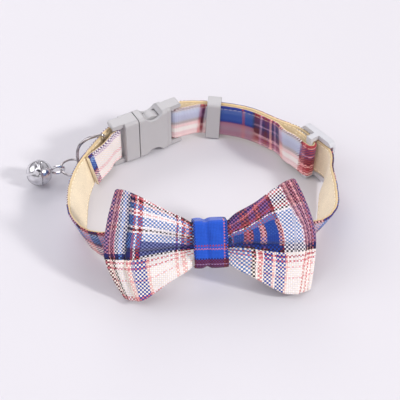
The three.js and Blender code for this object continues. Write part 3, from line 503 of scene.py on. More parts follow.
# What those warp yarns turn to below the strap's middle
LOWER_TONES = {"royal": "plum", "navy": "plum", "sky": "cream", "dark": "maroon"}
STRAP_WEFT = [
    (-7, "salmon"), (-5.4, "pink"), (-3.6, "cream"), (-1.8, "pink"), (-0.4, "maroon"), (0.5, "navy"),
    (0.9, "blue"), (3.4, "sky"), (4.9, "navy"), (5.6, "maroon"),
]
STRAP_PALE_WEFT = [
    (-7, "pink"), (-4.8, "cream"), (-2.2, "pink"), (-0.8, "cream"), (4.2, "mauve"), (5.0, "plum"),
]
STRAP_DARK_WEFT = [
    (-7, "pink"), (-4.6, "salmon"), (-3.6, "red"), (-2.8, "pink"), (-1.6, "maroon"), (0.6, "navy"),
    (1.6, "mauve"), (2.2, "navy"), (3.2, "plum"), (4.8, "red"),
]
PALE_END = 12.4
DARK_STRETCHES = [(145, 153.3), (164.6, 175.8), (193.6, 195.2)]
STRAP_CHANGES = [("weft", 175.8, 190, 0, FAR, 0.6, "royal"), ("weft", 175.8, 190, -FAR, 0, 0.6, "rose")]
KNOT_WEFT = [
    (-30, "bright"), (-9.6, "maroon"), (-5.8, "mauve"), (-5.4, "maroon"), (-4.3, "navy"), (-3.9, "bright"),
    (-1.5, "salmon"), (-1.1, "bright"), (-0.6, "red"), (-0.2, "bright"), (9, "maroon"), (10, "bright"),
]
KNOT_WARP = [(-10, "navy"), (-4.4, "bright"), (3.7, "salmon"), (4.1, "navy")]
KNOT_HEM_ROW = -4.1
# The range that each table is read over
BOW_ALONG, BOW_UP, STRAP_ALONG, STRAP_ACROSS = (-40, 40), (-20, 20), (-10, 240), (-8, 8)
KNOT_ROUND, KNOT_ALONG = (-30, 30), (-10, 10)
# The size of one crossing of yarns
BOW_CELL, STRAP_CELL, KNOT_CELL, LINING_CELL = 0.55, 0.5, 0.42, 0.3
# The seam along each edge of the strap
STITCH_LINE, STITCH_PITCH, STITCH_GAP, THREAD_HALF = 5.15, 1.7, 0.3, 0.16
THREAD_RISE, THREAD_SHARE, LINING_THREAD_SHARE = 0.9, 0.35, 0.6
# The lining darkens to a golden tone past this distance from its middle, at this rate per millimetre
LINING_EDGE, LINING_EDGE_RATE = 4.6, 0.55
# How much of the yarns' colour gives way in the valley, partly as painted shade, and at the knot's hem
VALLEY_YARN_AND_SHADE_WARP_SHARE, VALLEY_YARN_AND_SHADE_WEFT_SHARE, HEM_SHARE = 0.8, 0.9, 0.8
# Noises as scale, detail, span and low value
BLOTCHES, FLECKS, WOBBLE = (180, 3, 0.24, 0.88), (2600, 2, 0.3, 0.85), (60, 2, 1.2, -0.6)
# Shade from the gaps to the yarns' tops, as span and low value, and the weave's relief
YARN_SHADE = (0.28, 0.8)
WEAVE_BUMP, WEAVE_DEPTH = 0.5, 0.25


def weave_parts(n, u, v, cell):
    """Which yarn is on top (1 warp, 0 weft) and the height of the yarns, for cells of that size."""
    cu, cv = n.math("DIVIDE", u, cell), n.math("DIVIDE", v, cell)
    parity = n.math("MODULO", n.math("ADD", n.math("FLOOR", cu), n.math("FLOOR", cv)), 2.0)
    top = n.math("GREATER_THAN", n.math("ABSOLUTE", parity), 0.5)
    round_u = n.math("SINE", n.math("MULTIPLY", n.math("FRACT", cu), math.pi))
    round_v = n.math("SINE", n.math("MULTIPLY", n.math("FRACT", cv), math.pi))
    return top, n.math("MULTIPLY", round_u, round_v)


def cloth_finish(n, base, height, cell):
    """The weave's shade, blotches and relief on the base colour."""
    tone = n.math("MULTIPLY", n.spread(*BLOTCHES), n.spread(*FLECKS))
    tone = n.math("MULTIPLY", tone, n.math("MULTIPLY_ADD", height, *YARN_SHADE))
    scaled = n.node("ShaderNodeVectorMath", operation="SCALE")
    n.link(base, scaled.inputs[0])
    n.link(tone, scaled.inputs["Scale"])
    n.link(scaled.outputs[0], n.shader.inputs["Base Color"])
    n.set(Roughness=0.86, Specular_IOR_Level=0.25, Sheen_Weight=0.25, Sheen_Roughness=0.5)
    n.link(n.bump(height, WEAVE_BUMP, cell * WEAVE_DEPTH * MM), n.shader.inputs["Normal"])
    return n.material


def cloth_coordinates(n, layer="cloth"):
    """Millimetres along and across the cloth, with the yarns a little uneven."""
    split = n.node("ShaderNodeSeparateXYZ")
    n.link(n.node("ShaderNodeUVMap", uv_map=layer).outputs[0], split.inputs[0])
    wobble = n.spread(*WOBBLE)
    return n.math("ADD", split.outputs[0], wobble), n.math("ADD", split.outputs[1], wobble)


def change(n, u, v, warp, weft, table):
    """The warp's and the weft's colours with a table's changes."""
    for yarn, left, right, low, high, share, tone in table:
        inside = n.math("MULTIPLY", n.between(u, left, right), n.between(v, low, high))
        inside = n.math("MULTIPLY", inside, share)
        if yarn == "warp":
            warp = n.mix(inside, warp, tone)
        else:
            weft = n.mix(inside, weft, tone)
    return warp, weft


def bow_plaid():
    n = Nodes("bow_plaid")
    u, v = cloth_coordinates(n)
    upper = n.stripes(u, BOW_UPPER_WARP, *BOW_ALONG)
    lower = n.stripes(u, BOW_LOWER_WARP, *BOW_ALONG)
    left = n.stripes(v, BOW_LEFT_WEFT, *BOW_UP)
    right = n.stripes(v, BOW_RIGHT_WEFT, *BOW_UP)
    warp = n.mix(n.math("GREATER_THAN", v, LOBE_SPLIT), lower, upper)
    weft = n.mix(n.math("GREATER_THAN", u, 0.0), left, right)
    warp, weft = change(n, u, v, warp, weft, END_CHANGES)
    # The valley's navy and royal are partly painted shade, darkening the crease along each wing
    away = n.math("ABSOLUTE", u)
    valley = n.between(v, VALLEY_LOW, n.math("MULTIPLY_ADD", away, VALLEY_SPREAD, VALLEY_TOP))
    valley = n.math("MULTIPLY", valley, n.math("LESS_THAN", away, VALLEY_REACH))
    warp = n.mix(n.math("MULTIPLY", valley, VALLEY_YARN_AND_SHADE_WARP_SHARE), warp, "royal")
    weft = n.mix(n.math("MULTIPLY", valley, VALLEY_YARN_AND_SHADE_WEFT_SHARE), weft, "navy")
    warp, weft = change(n, u, v, warp, weft, RIGHT_CHANGES)
    top, height = weave_parts(n, *cloth_coordinates(n, "yarn"), BOW_CELL)
    return cloth_finish(n, n.mix(top, weft, warp), height, BOW_CELL)


def knot_plaid():
    n = Nodes("knot_plaid")
    u, v = cloth_coordinates(n)
    weft = n.stripes(v, KNOT_WEFT, *KNOT_ROUND)
    warp = n.stripes(u, KNOT_WARP, *KNOT_ALONG)
    hem = n.math("LESS_THAN", v, KNOT_HEM_ROW)
    warp = n.mix(n.math("MULTIPLY", hem, HEM_SHARE), warp, "maroon")
    top, height = weave_parts(n, u, v, KNOT_CELL)
    return cloth_finish(n, n.mix(top, weft, warp), height, KNOT_CELL)


def stitching(n, u, v):
    """1 on the thread of the seam along each edge."""
    off = n.math("ABSOLUTE", n.math("SUBTRACT", n.math("ABSOLUTE", v), STITCH_LINE))
    dash = n.math("GREATER_THAN", n.math("FRACT", n.math("DIVIDE", u, STITCH_PITCH)), STITCH_GAP)
    return n.math("MULTIPLY", n.math("LESS_THAN", off, THREAD_HALF), dash)


def strap_plaid():
    n = Nodes("strap_plaid")
    u, v = cloth_coordinates(n)
    lower_warp = [(start, LOWER_TONES.get(tone, tone)) for start, tone in STRAP_WARP]
    upper = n.stripes(u, STRAP_WARP, *STRAP_ALONG)
    lower = n.stripes(u, lower_warp, *STRAP_ALONG)
    warp = n.mix(n.math("LESS_THAN", v, 0.0), upper, lower)
    weft = n.stripes(v, STRAP_WEFT, *STRAP_ACROSS)
    pale = n.stripes(v, STRAP_PALE_WEFT, *STRAP_ACROSS)
    dark = n.stripes(v, STRAP_DARK_WEFT, *STRAP_ACROSS)
    weft = n.mix(n.math("LESS_THAN", u, PALE_END), weft, pale)
    for start, end in DARK_STRETCHES:
        weft = n.mix(n.between(u, start, end), weft, dark)
    warp, weft = change(n, u, v, warp, weft, STRAP_CHANGES)
    top, height = weave_parts(n, u, v, STRAP_CELL)
    thread = stitching(n, u, v)
    base = n.mix(n.math("MULTIPLY", thread, THREAD_SHARE), n.mix(top, weft, warp), "cream")
    return cloth_finish(n, base, n.math("MULTIPLY_ADD", thread, THREAD_RISE, height), STRAP_CELL)


def strap_lining():
    n = Nodes("strap_lining")
    u, v = cloth_coordinates(n)
    _, height = weave_parts(n, u, v, LINING_CELL)
    # Darker and more golden towards the lining's edges
    past_edge = n.math("SUBTRACT", n.math("ABSOLUTE", v), LINING_EDGE)
    near_edge = n.math("MAXIMUM", n.math("MINIMUM", n.math("MULTIPLY", past_edge, LINING_EDGE_RATE), 1.0), 0.0)
    thread = stitching(n, u, v)
    base = n.mix(near_edge, "lining", "edge_lining")
    base = n.mix(n.math("MULTIPLY", thread, LINING_THREAD_SHARE), base, "lining_thread")
    return cloth_finish(n, base, n.math("MULTIPLY_ADD", thread, THREAD_RISE, height), LINING_CELL)


EDGE_RADIUS = 0.35
PLASTIC_SHADE, PLASTIC_SPECKLE, SPECKLE_SHARE = 0.86, (420, 4), 0.35
PLASTIC_SCUFFS, PLASTIC_ROUGHNESS = (1500, 3), (0.22, 0.3)
SCUFF_BUMP, SCUFF_DEPTH = 0.15, 0.02 * MM
PLASTIC_DEPTH = 1.5 * MM
METAL_CLOUDS, METAL_ROUGHNESS = (420, 4, 2.4, -0.75), (1400, 3, 0.16, 0.08)
METAL_DENTS, DENT_BUMP, DENT_DEPTH = (900, 2), 0.08, 0.03 * MM


def plastic(name, tone):
    """Satin moulding with rounded edges, in a linear tone."""
    n = Nodes(name)
    speckle = n.math("MULTIPLY", n.noise(*PLASTIC_SPECKLE), SPECKLE_SHARE)
    n.link(n.mix(speckle, tone, tuple(c * PLASTIC_SHADE for c in tone)), n.shader.inputs["Base Color"])
    scuffs = n.noise(*PLASTIC_SCUFFS)
    n.link(n.math("MULTIPLY_ADD", scuffs, *PLASTIC_ROUGHNESS), n.shader.inputs["Roughness"])
    rounded = n.node("ShaderNodeBevel", samples=6)
    rounded.inputs["Radius"].default_value = EDGE_RADIUS * MM
    n.link(n.bump(scuffs, SCUFF_BUMP, SCUFF_DEPTH, rounded.outputs[0]), n.shader.inputs["Normal"])
    n.set(Subsurface_Weight=0.15, Subsurface_Radius=(PLASTIC_DEPTH, PLASTIC_DEPTH, PLASTIC_DEPTH))
    return n.material


def metal(name, bright, dull):
    """Polished plate that is clouded here and there, in linear tones."""
    n = Nodes(name)
    n.set(Metallic=1.0)
    n.link(n.mix(n.spread(*METAL_CLOUDS), bright, dull), n.shader.inputs["Base Color"])
    n.link(n.spread(*METAL_ROUGHNESS), n.shader.inputs["Roughness"])
    n.link(n.bump(n.noise(*METAL_DENTS), DENT_BUMP, DENT_DEPTH), n.shader.inputs["Normal"])
    return n.material


# Strap

STRAP_STEP = 0.9
ACROSS_POINTS = 9
EDGE_TURN = 0.45
EDGE_ANGLES = np.radians([60, 30, 0, -30, -60])
CROWN_DROP, CROWN_POWER = 0.1, 6
STITCH_DIP, STITCH_DIP_WIDTH = 0.06, 0.22
PUCKER, PUCKER_PITCH, PUCKER_LAG, PUCKER_POWER = 0.05, 3.4, 1.7, 4
# Faces of each edge that the plaid wraps, at the section's start and end
WRAPPED_START, WRAPPED_END = 1, 3


def half_thickness(u):
    """Half the strap's thickness at u across it: thinner at the edges and pulled in at the seams."""
    near_edge = CROWN_DROP * abs(2 * u / STRAP_WIDTH) ** CROWN_POWER
    seam = STITCH_DIP * math.exp(-((abs(u) - STITCH_LINE) / STITCH_DIP_WIDTH) ** 2)
    return STRAP_THICKNESS / 2 - near_edge - seam


def build_strap():
    half, thick = STRAP_WIDTH / 2, STRAP_THICKNESS / 2
    flat = np.linspace(half - EDGE_TURN, -half + EDGE_TURN, ACROSS_POINTS)
    front = [(u, half_thickness(u)) for u in flat]
    back = [(u, -half_thickness(u)) for u in flat[::-1]]
    turn = [(EDGE_TURN * math.cos(a), thick * math.sin(a)) for a in EDGE_ANGLES]
    section = (front + [(EDGE_TURN - half - c, s) for c, s in turn]
               + back + [(half - EDGE_TURN + c, s) for c, s in turn[::-1]])
    rows = strap_path(STRAP_STEP)
    points = ribbon_points(rows, section)
    count, last = len(section), len(rows) - 1
    along = np.array([row[2] for row in rows]) * 2 * math.pi / PUCKER_PITCH
    back_end = len(front) + len(turn) + len(back) - 1
    for j, (u, v) in enumerate(section):
        pucker = PUCKER * np.sin(along + (0 if u > 0 else PUCKER_LAG)) * (abs(u) / half) ** PUCKER_POWER
        through = points[:, 0] - points[:, back_end]
        through /= np.linalg.norm(through, axis=1, keepdims=True)
        points[:, j] += through * pucker[:, None]
    faces, uvs, kinds = [], [], []
    for i in range(last):
        for j in range(count):
            k = (j + 1) % count
            corners = ((i, j), (i, k), (i + 1, k), (i + 1, j))
            faces.append(tuple(row * count + col for row, col in corners))
            kinds.append(0 if j < len(front) + WRAPPED_START or j >= count - WRAPPED_END else 1)
            uvs += [(rows[row][2], section[col][0]) for row, col in corners]
    start_cap = list(range(count))
    end_cap = [last * count + j for j in range(count)][::-1]
    for cap, row in ((start_cap, 0), (end_cap, last)):
        faces.append(tuple(cap))
        kinds.append(1)
        uvs += [(rows[row][2], section[corner % count][0]) for corner in cap]
    materials = [strap_plaid(), strap_lining()]
    strap = make_mesh("strap_cloth", points.reshape(-1, 3), faces, {"cloth": uvs}, materials, kinds)
    turn_out(strap)
    length = sum(np.linalg.norm(rows[i + 1][0] - rows[i][0]) for i in range(last))
    return strap, length


# Bow: the solids' stations, taken finer, with gathers at the knot, a sharp valley and a stepped front ply

# Share of the half length, top and bottom as shares of the half height, place from front (1) to back (-1)
# and depth of the crease
FRONT_STATIONS = [
    (0, 0.355, -0.355, 0.545, 0.6), (0.08, 0.355, -0.355, 0.545, 0.6), (0.165, 0.37, -0.38, 0.56, 0.66),
    (0.25, 0.47, -0.48, 0.72, 0.95), (0.38, 0.61, -0.61, 0.88, 1), (0.54, 0.77, -0.79, 0.97, 0.85),
    (0.68, 0.9, -0.925, 1, 0.5), (0.8, 0.98, -0.955, 1, 0.2), (0.88, 1.02, -0.955, 0.92, 0.05),
    (0.95, 1.03, -0.945, 0.62, 0), (0.995, 1.03, -0.93, 0.24, 0), (0.985, 1.02, -0.9, -0.14, 0),
    (0.93, 1.01, -0.885, -0.36, 0), (0.8, 0.96, -0.87, -0.42, 0), (0.62, 0.82, -0.8, -0.44, 0),
    (0.44, 0.63, -0.64, -0.46, 0), (0.26, 0.47, -0.48, -0.52, 0), (0.165, 0.365, -0.38, -0.545, 0),
    (0.08, 0.355, -0.355, -0.545, 0),
]
BACK_MIDDLE = (0, 0.355, -0.355, -0.545, 0)
# How far the top and the bottom corner draw in, and where up the wing it reaches furthest
WING_ENDS = {1: (0.195, 0.07, 0.46), -1: (0.14, 0.19, 0.43)}
PULL_POWER, CORNER_POWER = 3, 1.6
CREASE_MIDDLE, CREASE_SPREAD = 0.48, 0.2
PINCH_REACH = 0.2
# Where the front ply ends, as a share of the half length, up the wing: places and shares
FRONT_EDGE = {
    1: ((0, 0.4, 0.6, 1), (0.84, 0.89, 0.875, 0.72)),
    -1: ((0, 0.3, 0.7, 1), (0.77, 0.8, 0.745, 0.74)),
}
EDGE_STEP, EDGE_STEP_REACH = 1.3, 0.02
# The front ply turns back after this station
LAST_FRONT_STATION, TURNED_WITHIN = 8, 2.2
# Where the plaid's end band begins
PLAID_EDGE = {1: 0.865, -1: 0.76}
# The valley is sharp on its upper side and soft below
VALLEY_UP, VALLEY_DEPTH = 0.455, 2.1
VALLEY_SHARP, VALLEY_SOFT = 0.028, 0.1
VALLEY_OPENS, VALLEY_CLOSES = (0.12, 0.3), (0.7, 0.88)
# Gathers fan out from the knot and fade into the wing, which waves a little towards its end
GATHER_DEPTH, GATHER_PLACE, GATHER_FADE = 0.5, 0.26, 0.22
WAVE_DEPTH, WAVE_GROWS = 0.25, (0.4, 0.8)
# Their turns up the wing, by side and out from the knot, in radians
GATHER_TURNS, WAVE_TURNS = (19, 1.3, 3), (6, 2, 7)
BACK_SHARE = -0.4
# Rows hidden in the right wing's pleats, which fade out along the wing and begin up it
PLEATED_ROWS, PLEATS_FADE, PLEATS_BEGIN = 3.4, (0.25, 0.6), (0.5, 0.7)
# Share up the wing where the cloth's turn round its end is read for the yarns
TURN_ROW = 0.8
BOW_UP_STEPS = 80
BOW_STATION_STEPS = 10
# Where the cloth's cut edge starts to thin, and what is left of it there
CUT_EDGE, CUT_EDGE_LEAST = 0.97, 0.35


def sway(turns, up, side, reach):
    return math.sin(up * turns[0] + side * turns[1] + reach * turns[2])


def bow_point(side, row, up):
    reach, top, bottom, front, crease = row
    if side > 0 and reach > PINCH_REACH:
        top *= RIGHT_WING_RISE
    rise = (bottom + (top - bottom) * up) * BOW_HEIGHT / 2
    pull_top, pull_bottom, widest = WING_ENDS[side]
    away = (up - widest) / (1 - widest) if up > widest else (widest - up) / widest
    short = (pull_top if up > widest else pull_bottom) * reach ** PULL_POWER * away ** CORNER_POWER
    dent = crease * math.exp(-((up - CREASE_MIDDLE) / CREASE_SPREAD) ** 2)
    valley = 0
    if front > 0:
        flank = VALLEY_SHARP if up > VALLEY_UP else VALLEY_SOFT
        valley = VALLEY_DEPTH * smooth_step(reach, *VALLEY_OPENS) * (1 - smooth_step(reach, *VALLEY_CLOSES))
        valley *= math.exp(-((up - VALLEY_UP) / flank) ** 2)
    fade = math.exp(-((reach - GATHER_PLACE) / GATHER_FADE) ** 2) if reach > PINCH_REACH else 0
    gather = GATHER_DEPTH * fade * sway(GATHER_TURNS, up, side, reach)
    wave = WAVE_DEPTH * smooth_step(reach, *WAVE_GROWS) * sway(WAVE_TURNS, up, side, reach)
    outward = 1 if front > 0 else BACK_SHARE
    return np.array([
        side * reach * BOW_HALF_LENGTH * (1 - short),
        front * BOW_PUFF - dent * BOW_CREASE - valley + (gather + wave) * outward,
        rise,
    ])


def bow_stations():
    """(side, station) all round the loop, from the middle of its front to the right."""
    right = [(1, r) for r in FRONT_STATIONS]
    left = [(-1, r) for r in FRONT_STATIONS[1:][::-1]]
    return right + [(1, BACK_MIDDLE)] + left


def closed_spline(rows, at):
    """Value of a plain Catmull-Rom curve that closes on itself, at counted in rows."""
    i = int(at)
    return catmull_rom(*(rows[(i + k) % len(rows)] for k in (-1, 0, 1, 2)), at - i)


def closed_spline_all(rows, per):
    return np.array([closed_spline(rows, i / per) for i in range(len(rows) * per)])


LOBE_TOP, LOBE_LOW = 1.03, -0.945
# Share of the cloth's height that shows at the pinch
PINCHED_HEIGHT = 0.87
front_middle, front_along, front_across, front_outward = strap_frame(distance_of("front"))
BOW_CENTRE = front_middle + front_outward * BOW_OFFSET


def from_bow(p):
    """A point of the bow's own frame (along, out of its face, up it) in the route's frame."""
    return BOW_CENTRE + front_along * p[0] + front_outward * p[1] + front_across * p[2]


def plaid_place(side, reach, up):
    """The cloth's place along and up the bow.

    The stripes keep to the front ply's edge, and the folds at the knot hide part of the rows.
    """
    edge = np.interp(up, *FRONT_EDGE[side])
    at = PLAID_EDGE[side]
    share = reach * at / edge if reach < edge else at + (reach - edge) * (1 - at) / (1 - edge)
    rise = (LOBE_LOW + (LOBE_TOP - LOBE_LOW) * up) * BOW_HEIGHT / 2
    rise *= PINCHED_HEIGHT + (1 - PINCHED_HEIGHT) * reach
    if side > 0:
        rise += PLEATED_ROWS * (1 - smooth_step(reach, *PLEATS_FADE)) * smooth_step(up, *PLEATS_BEGIN)
    return side * share * BOW_HALF_LENGTH, rise


def build_bow():
    stations = bow_stations()
    per = BOW_STATION_STEPS
    ups = [j / BOW_UP_STEPS for j in range(BOW_UP_STEPS + 1)]
    coarse = np.array([[bow_point(side, row, up) for up in ups] for side, row in stations])
    reaches = closed_spline_all(np.array([side * row[0] for side, row in stations]), per)
    sides = [1 if 0 <= reach else -1 for reach in reaches]
    total = len(stations) * per
    sheet = closed_spline_all(coarse, per)
    for i, (side, signed) in enumerate(zip(sides, reaches)):
        place = i / per if side > 0 else len(stations) - i / per
        turned = smooth_step(place, LAST_FRONT_STATION + 1, LAST_FRONT_STATION + TURNED_WITHIN)
        for j, up in enumerate(ups):
            edge = np.interp(up, *FRONT_EDGE[side])
            past_edge = smooth_step(abs(signed), edge, edge + EDGE_STEP_REACH)
            sheet[i, j, 1] -= EDGE_STEP * past_edge * (1 - turned)
    plaid = np.array([[plaid_place(side, abs(reach), up) for up in ups]
                      for side, reach in zip(sides, reaches)])
    normals = np.cross(np.gradient(sheet, axis=1), np.roll(sheet, -1, 0) - np.roll(sheet, 1, 0))
    normals /= np.linalg.norm(normals, axis=2, keepdims=True)
    past_cut = np.maximum(0, (np.abs(2 * np.array(ups) - 1) - CUT_EDGE) / (1 - CUT_EDGE))
    thickness = np.clip(np.sqrt(np.maximum(0, 1 - past_cut ** 2)), CUT_EDGE_LEAST, 1)[None, :, None]
    outer = sheet + normals * CLOTH / 2 * thickness
    inner = sheet - normals * CLOTH / 2 * thickness
    loop = np.concatenate([outer, inner[:, ::-1]], axis=1)
    count = loop.shape[1]
    points = [from_bow(p) for p in loop.reshape(-1, 3)]
    # The yarns keep their size round the wing's end, where the cloth turns back
    depth = np.array(sides) * sheet[:, round(TURN_ROW * BOW_UP_STEPS), 1]
    yarn = np.stack([loop[:, :, 0] - depth[:, None], loop[:, :, 2]], axis=2).reshape(-1, 2)
    plaid = np.concatenate([plaid, plaid[:, ::-1]], axis=1).reshape(-1, 2)
    faces, yarns, stripes = closed_faces(total, count), [], []
    for corners in faces:
        yarns += [tuple(yarn[c]) for c in corners]
        stripes += [tuple(plaid[c]) for c in corners]
    bow = make_mesh("bow_cloth", points, faces, {"cloth": stripes, "yarn": yarns}, [bow_plaid()])
    turn_out(bow)
    around = np.linalg.norm(np.roll(sheet, -1, 0) - sheet, axis=2)[:, BOW_UP_STEPS // 2].sum()
    area = sum(p.area for p in bow.data.polygons) / 2
    return bow, around, area


def closed_faces(rows, count):
    """Faces of a grid of rows of that many points, closed both ways."""
    faces = []
    for i in range(rows):
        b = (i + 1) % rows
        for j in range(count):
            k = (j + 1) % count
            faces.append((i * count + j, i * count + k, b * count + k, b * count + j))
    return faces


def ring_points(u0, u1, v0, v1, radius, steps, sides):
    """A closed rectangle with round corners, each of that many steps, and sides in that many parts."""
    corners = [(u1 - radius, v0 + radius, -90), (u1 - radius, v1 - radius, 0),
               (u0 + radius, v1 - radius, 90), (u0 + radius, v0 + radius, 180)]
    out = []
    for n, (u, v, start) in enumerate(corners):
        for s in range(steps + 1):
            a = math.radians(start + 90 * s / steps)
            out.append((u + radius * math.cos(a), v + radius * math.sin(a)))
        nu, nv, nstart = corners[(n + 1) % 4]
        a = math.radians(nstart)
        end = (nu + radius * math.cos(a), nv + radius * math.sin(a))
        here = out[-1]
        for s in range(1, sides):
            out.append((here[0] + (end[0] - here[0]) * s / sides, here[1] + (end[1] - here[1]) * s / sides))
    return out


# Share of the knot's wall that is left at its ends
KNOT_END_WALL = 0.6
KNOT_HEM_POWER = 6
KNOT_STEPS = 40
KNOT_CORNER, KNOT_CORNER_STEPS, KNOT_SIDE_PARTS = 0.5, 5, 14
KNOT_PLEAT_PLACE = -0.09 * KNOT_WIDTH
# Creases down its front: depth, place, slant, width
KNOT_CREASES = [(0.6, KNOT_PLEAT_PLACE, 0.03, 0.75), (0.22, 3.1, 0.05, 0.9)]
KNOT_NOTCH_DEPTH, KNOT_NOTCH_PLACE, KNOT_NOTCH_WIDTH = 0.6, KNOT_PLEAT_PLACE - 0.4, 0.9
KNOT_RIPPLE, KNOT_RIPPLE_TURNS = 0.12, (1.4, 0.8)
KNOT_EDGE_WAVE, KNOT_EDGE_TURNS = 0.12, 0.9
# Where the creases set in, from the front of its inside, and the notch, from the ends of its inside
FRONT_GROWS, END_GROWS = (-1, 1), (-2, 1)
# The plaid's rows on the knot's back, further round
KNOT_BACK_ROWS = 12


def knot_surface(x, y, z, in_front):
    """A point of the knot's plain outside with its creases, ripples and the notch at its ends."""
    front = smooth_step(y, *(in_front + past for past in FRONT_GROWS))
    ends = smooth_step(abs(z), *(SLOT_HALF + past for past in END_GROWS))
    dip = KNOT_RIPPLE * math.sin(z * KNOT_RIPPLE_TURNS[0] + x * KNOT_RIPPLE_TURNS[1])
    for depth, place, slant, width in KNOT_CREASES:
        dip += depth * math.exp(-((x - place + slant * z) / width) ** 2)
    notch = KNOT_NOTCH_DEPTH * math.exp(-((x - KNOT_NOTCH_PLACE) / KNOT_NOTCH_WIDTH) ** 2) * ends
    z -= math.copysign(notch, z)
    return x + KNOT_EDGE_WAVE * math.sin(z * KNOT_EDGE_TURNS), y - dip * front, z


def build_knot():
    in_front = BUNDLE / 2 + SIDE_CLEARANCE
    in_back = -BUNDLE / 2 - 2 * CLEARANCE - STRAP_THICKNESS - KNOT_SLACK
    outer_rows, inner_rows = [], []
    for i in range(KNOT_STEPS + 1):
        x = (i / KNOT_STEPS - 0.5) * KNOT_WIDTH
        wall = KNOT_WALL - KNOT_HEM * abs(2 * x / KNOT_WIDTH) ** KNOT_HEM_POWER
        outer, inner = (ring_points(in_back - g, in_front + g, -SLOT_HALF - g, SLOT_HALF + g,
                                    KNOT_CORNER + g, KNOT_CORNER_STEPS, KNOT_SIDE_PARTS) for g in (wall, 0))
        squeeze = (SLOT_HALF + wall * KNOT_END_WALL) / (SLOT_HALF + wall)
        outer_rows.append([knot_surface(x, y, z * squeeze, in_front) for y, z in outer])
        inner_rows.append([(x, y, z) for y, z in inner])
    loops = outer_rows + inner_rows[::-1]
    flat = [p for loop in loops for p in loop]
    faces = closed_faces(len(loops), len(loops[0]))
    place = [(x, z + (0 if y > 0 else KNOT_BACK_ROWS)) for x, y, z in flat]
    uvs = [place[c] for face in faces for c in face]
    knot = make_mesh("knot_cloth", [from_bow(p) for p in flat], faces, {"cloth": uvs}, [knot_plaid()])
    turn_out(knot)
    ring = outer_rows[KNOT_STEPS // 2]
    around = sum(math.dist(ring[i], ring[(i + 1) % len(ring)]) for i in range(len(ring)))
    return knot, around


# Hardware: the solids' own meshes with their finish

def dress(names, material):
    for name in names:
        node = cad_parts[name]
        node.data.materials.clear()
        node.data.materials.append(material)


WELD = 0.002
SAME_FACE = math.radians(60)
BELL_SHARP = math.radians(38)


def smooth_copy(name, new_name, material, levels):
    """A rounder copy of a faceted piece, in the same place."""
    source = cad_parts[name]
    bm = bmesh.new()
    bm.from_mesh(source.data)
    bmesh.ops.remove_doubles(bm, verts=bm.verts, dist=WELD * MM)
    bmesh.ops.join_triangles(bm, faces=bm.faces, angle_face_threshold=SAME_FACE,
                             angle_shape_threshold=SAME_FACE)
    mesh = bpy.data.meshes.new(new_name)
    bm.to_mesh(mesh)
    bm.free()
    obj = add_object(new_name, mesh)
    if levels:
        modifier = obj.modifiers.new("round", "SUBSURF")
        modifier.levels = modifier.render_levels = levels
        done = bpy.data.meshes.new_from_object(obj.evaluated_get(bpy.context.evaluated_depsgraph_get()))
        obj.modifiers.clear()
        obj.data = done
    obj.data.materials.clear()
    obj.data.materials.append(material)
    obj.data.shade_smooth()
    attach(obj, "root")
    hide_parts(name)
    return obj


# Camera, floor and light

CAMERA_ELEVATION = 43
CAMERA_DISTANCE = 400
SENSOR = 36
PICTURE = 400
FOCAL_PIXELS = 1252
SHIFT_PIXELS = (-3, -22)
FLOOR_HALF = 4.0
FLOOR_DROP = 0.0002
FLOOR_TONES = ((0.705, 0.69, 0.73), (0.73, 0.715, 0.755))
# The studio's brightness from straight down (0) to straight up (1)
SKY_BANDS = [(0.0, 1.0), (0.52, 1.0), (0.56, 0.3), (0.62, 0.35), (0.68, 1.0), (0.86, 1.0), (0.94, 0.4)]
SKY_TINT = (0.95, 0.925, 0.97)
SKY_STRENGTH = 0.74
# name, place in metres, size, watts, tint
LAMPS = [
    ("key", (0.9, -0.4, 0.68), 0.16, 7.5, (1.0, 0.98, 0.95)),
    ("fill", (-0.2, -0.3, 0.7), 0.5, 1.4, (0.97, 0.97, 1.0)),
    ("left", (-0.5, 0.05, 0.3), 0.4, 0.85, (0.98, 0.98, 1.0)),
    ("back", (-0.1, 0.55, 0.45), 0.4, 1.3, (1.0, 0.98, 0.98)),
]
LAMP_AIM = Vector((0, 0, 0.01))


def build_camera():
    a = math.radians(CAMERA_ELEVATION)
    data = bpy.data.cameras.new("camera")
    data.sensor_width = SENSOR
    data.lens = SENSOR * FOCAL_PIXELS / PICTURE
    data.shift_x, data.shift_y = (pixels / PICTURE for pixels in SHIFT_PIXELS)
    data.clip_start, data.clip_end = 0.01, 10
    camera = add_object("camera", data)
    camera.location = Vector((SHIFT + np.array([0, -math.cos(a), math.sin(a)]) * CAMERA_DISTANCE) * MM)
    camera.rotation_euler = (math.radians(90 - CAMERA_ELEVATION), 0, 0)
    bpy.context.scene.camera = camera


def build_floor():
    mesh = bpy.data.meshes.new("floor")
    corners = [(-1, -1), (1, -1), (1, 1), (-1, 1)]
    mesh.from_pydata([(x * FLOOR_HALF, y * FLOOR_HALF, 0) for x, y in corners], [], [(0, 1, 2, 3)])
    floor = add_object("floor", mesh)
    floor.location.z = -FLOOR_DROP
    n = Nodes("floor_paper")
    n.link(n.mix(n.noise(9, 2), *FLOOR_TONES), n.shader.inputs["Base Color"])
    n.set(Roughness=0.9, Specular_IOR_Level=0.2)
    mesh.materials.append(n.material)


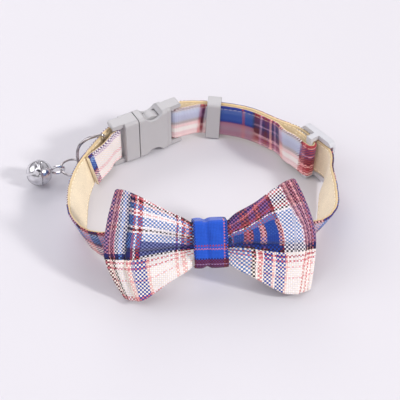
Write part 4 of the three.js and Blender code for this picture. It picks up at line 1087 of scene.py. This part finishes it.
def build_sky():
    world = bpy.data.worlds.new("studio")
    world.use_nodes = True
    sky, back = world.node_tree, world.node_tree.nodes["Background"]
    height = sky.nodes.new("ShaderNodeSeparateXYZ")
    ramp = sky.nodes.new("ShaderNodeValToRGB")
    for i, (at, _) in enumerate(SKY_BANDS):
        stop = ramp.color_ramp.elements[i] if i < 2 else ramp.color_ramp.elements.new(at)
        stop.position = at
    for stop, (_, tone) in zip(ramp.color_ramp.elements, SKY_BANDS):
        stop.color = (*(c * tone for c in SKY_TINT), 1)
    share = sky.nodes.new("ShaderNodeMath")
    share.operation = "MULTIPLY_ADD"
    share.inputs[1].default_value = share.inputs[2].default_value = 0.5
    sky.links.new(sky.nodes.new("ShaderNodeTexCoord").outputs["Generated"], height.inputs[0])
    sky.links.new(height.outputs[2], share.inputs[0])
    sky.links.new(share.outputs[0], ramp.inputs[0])
    sky.links.new(ramp.outputs[0], back.inputs[0])
    back.inputs[1].default_value = SKY_STRENGTH
    bpy.context.scene.world = world


def build_lamps():
    for name, place, size, power, tint in LAMPS:
        light = bpy.data.lights.new(name, "AREA")
        light.size, light.energy, light.color = size, power, tint
        lamp = add_object(name, light)
        lamp.location = place
        lamp.rotation_euler = (LAMP_AIM - Vector(place)).to_track_quat("-Z", "Y").to_euler()


build_camera()
build_floor()
build_sky()
build_lamps()

strap, strap_length = build_strap()
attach(strap, "root")
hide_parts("strap")

bow, bow_around, bow_area = build_bow()
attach(bow, "root")
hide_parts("bow")

knot, knot_around = build_knot()
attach(knot, "root")
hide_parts("bow_knot")

grey = plastic("grey_plastic", (0.50, 0.49, 0.505))
pale = plastic("pale_plastic", (0.62, 0.62, 0.66))
chrome = metal("chrome_plate", (0.84, 0.84, 0.86), (0.42, 0.41, 0.44))
wire = metal("wire_plate", (0.58, 0.55, 0.56), (0.24, 0.22, 0.23))
dress(["buckle_male", "buckle_female", "keeper"], grey)
dress(["slider"], pale)
dress(["bell_pellet"], chrome)
smooth_copy("d_ring", "d_ring_wire", wire, 2)
smooth_copy("jump_ring", "jump_ring_wire", wire, 2)
bell = smooth_copy("bell_shell", "bell_plate", chrome, 0)
bell.data.set_sharp_from_angle(angle=BELL_SHARP)

bpy.context.scene.view_settings.view_transform = "Standard"
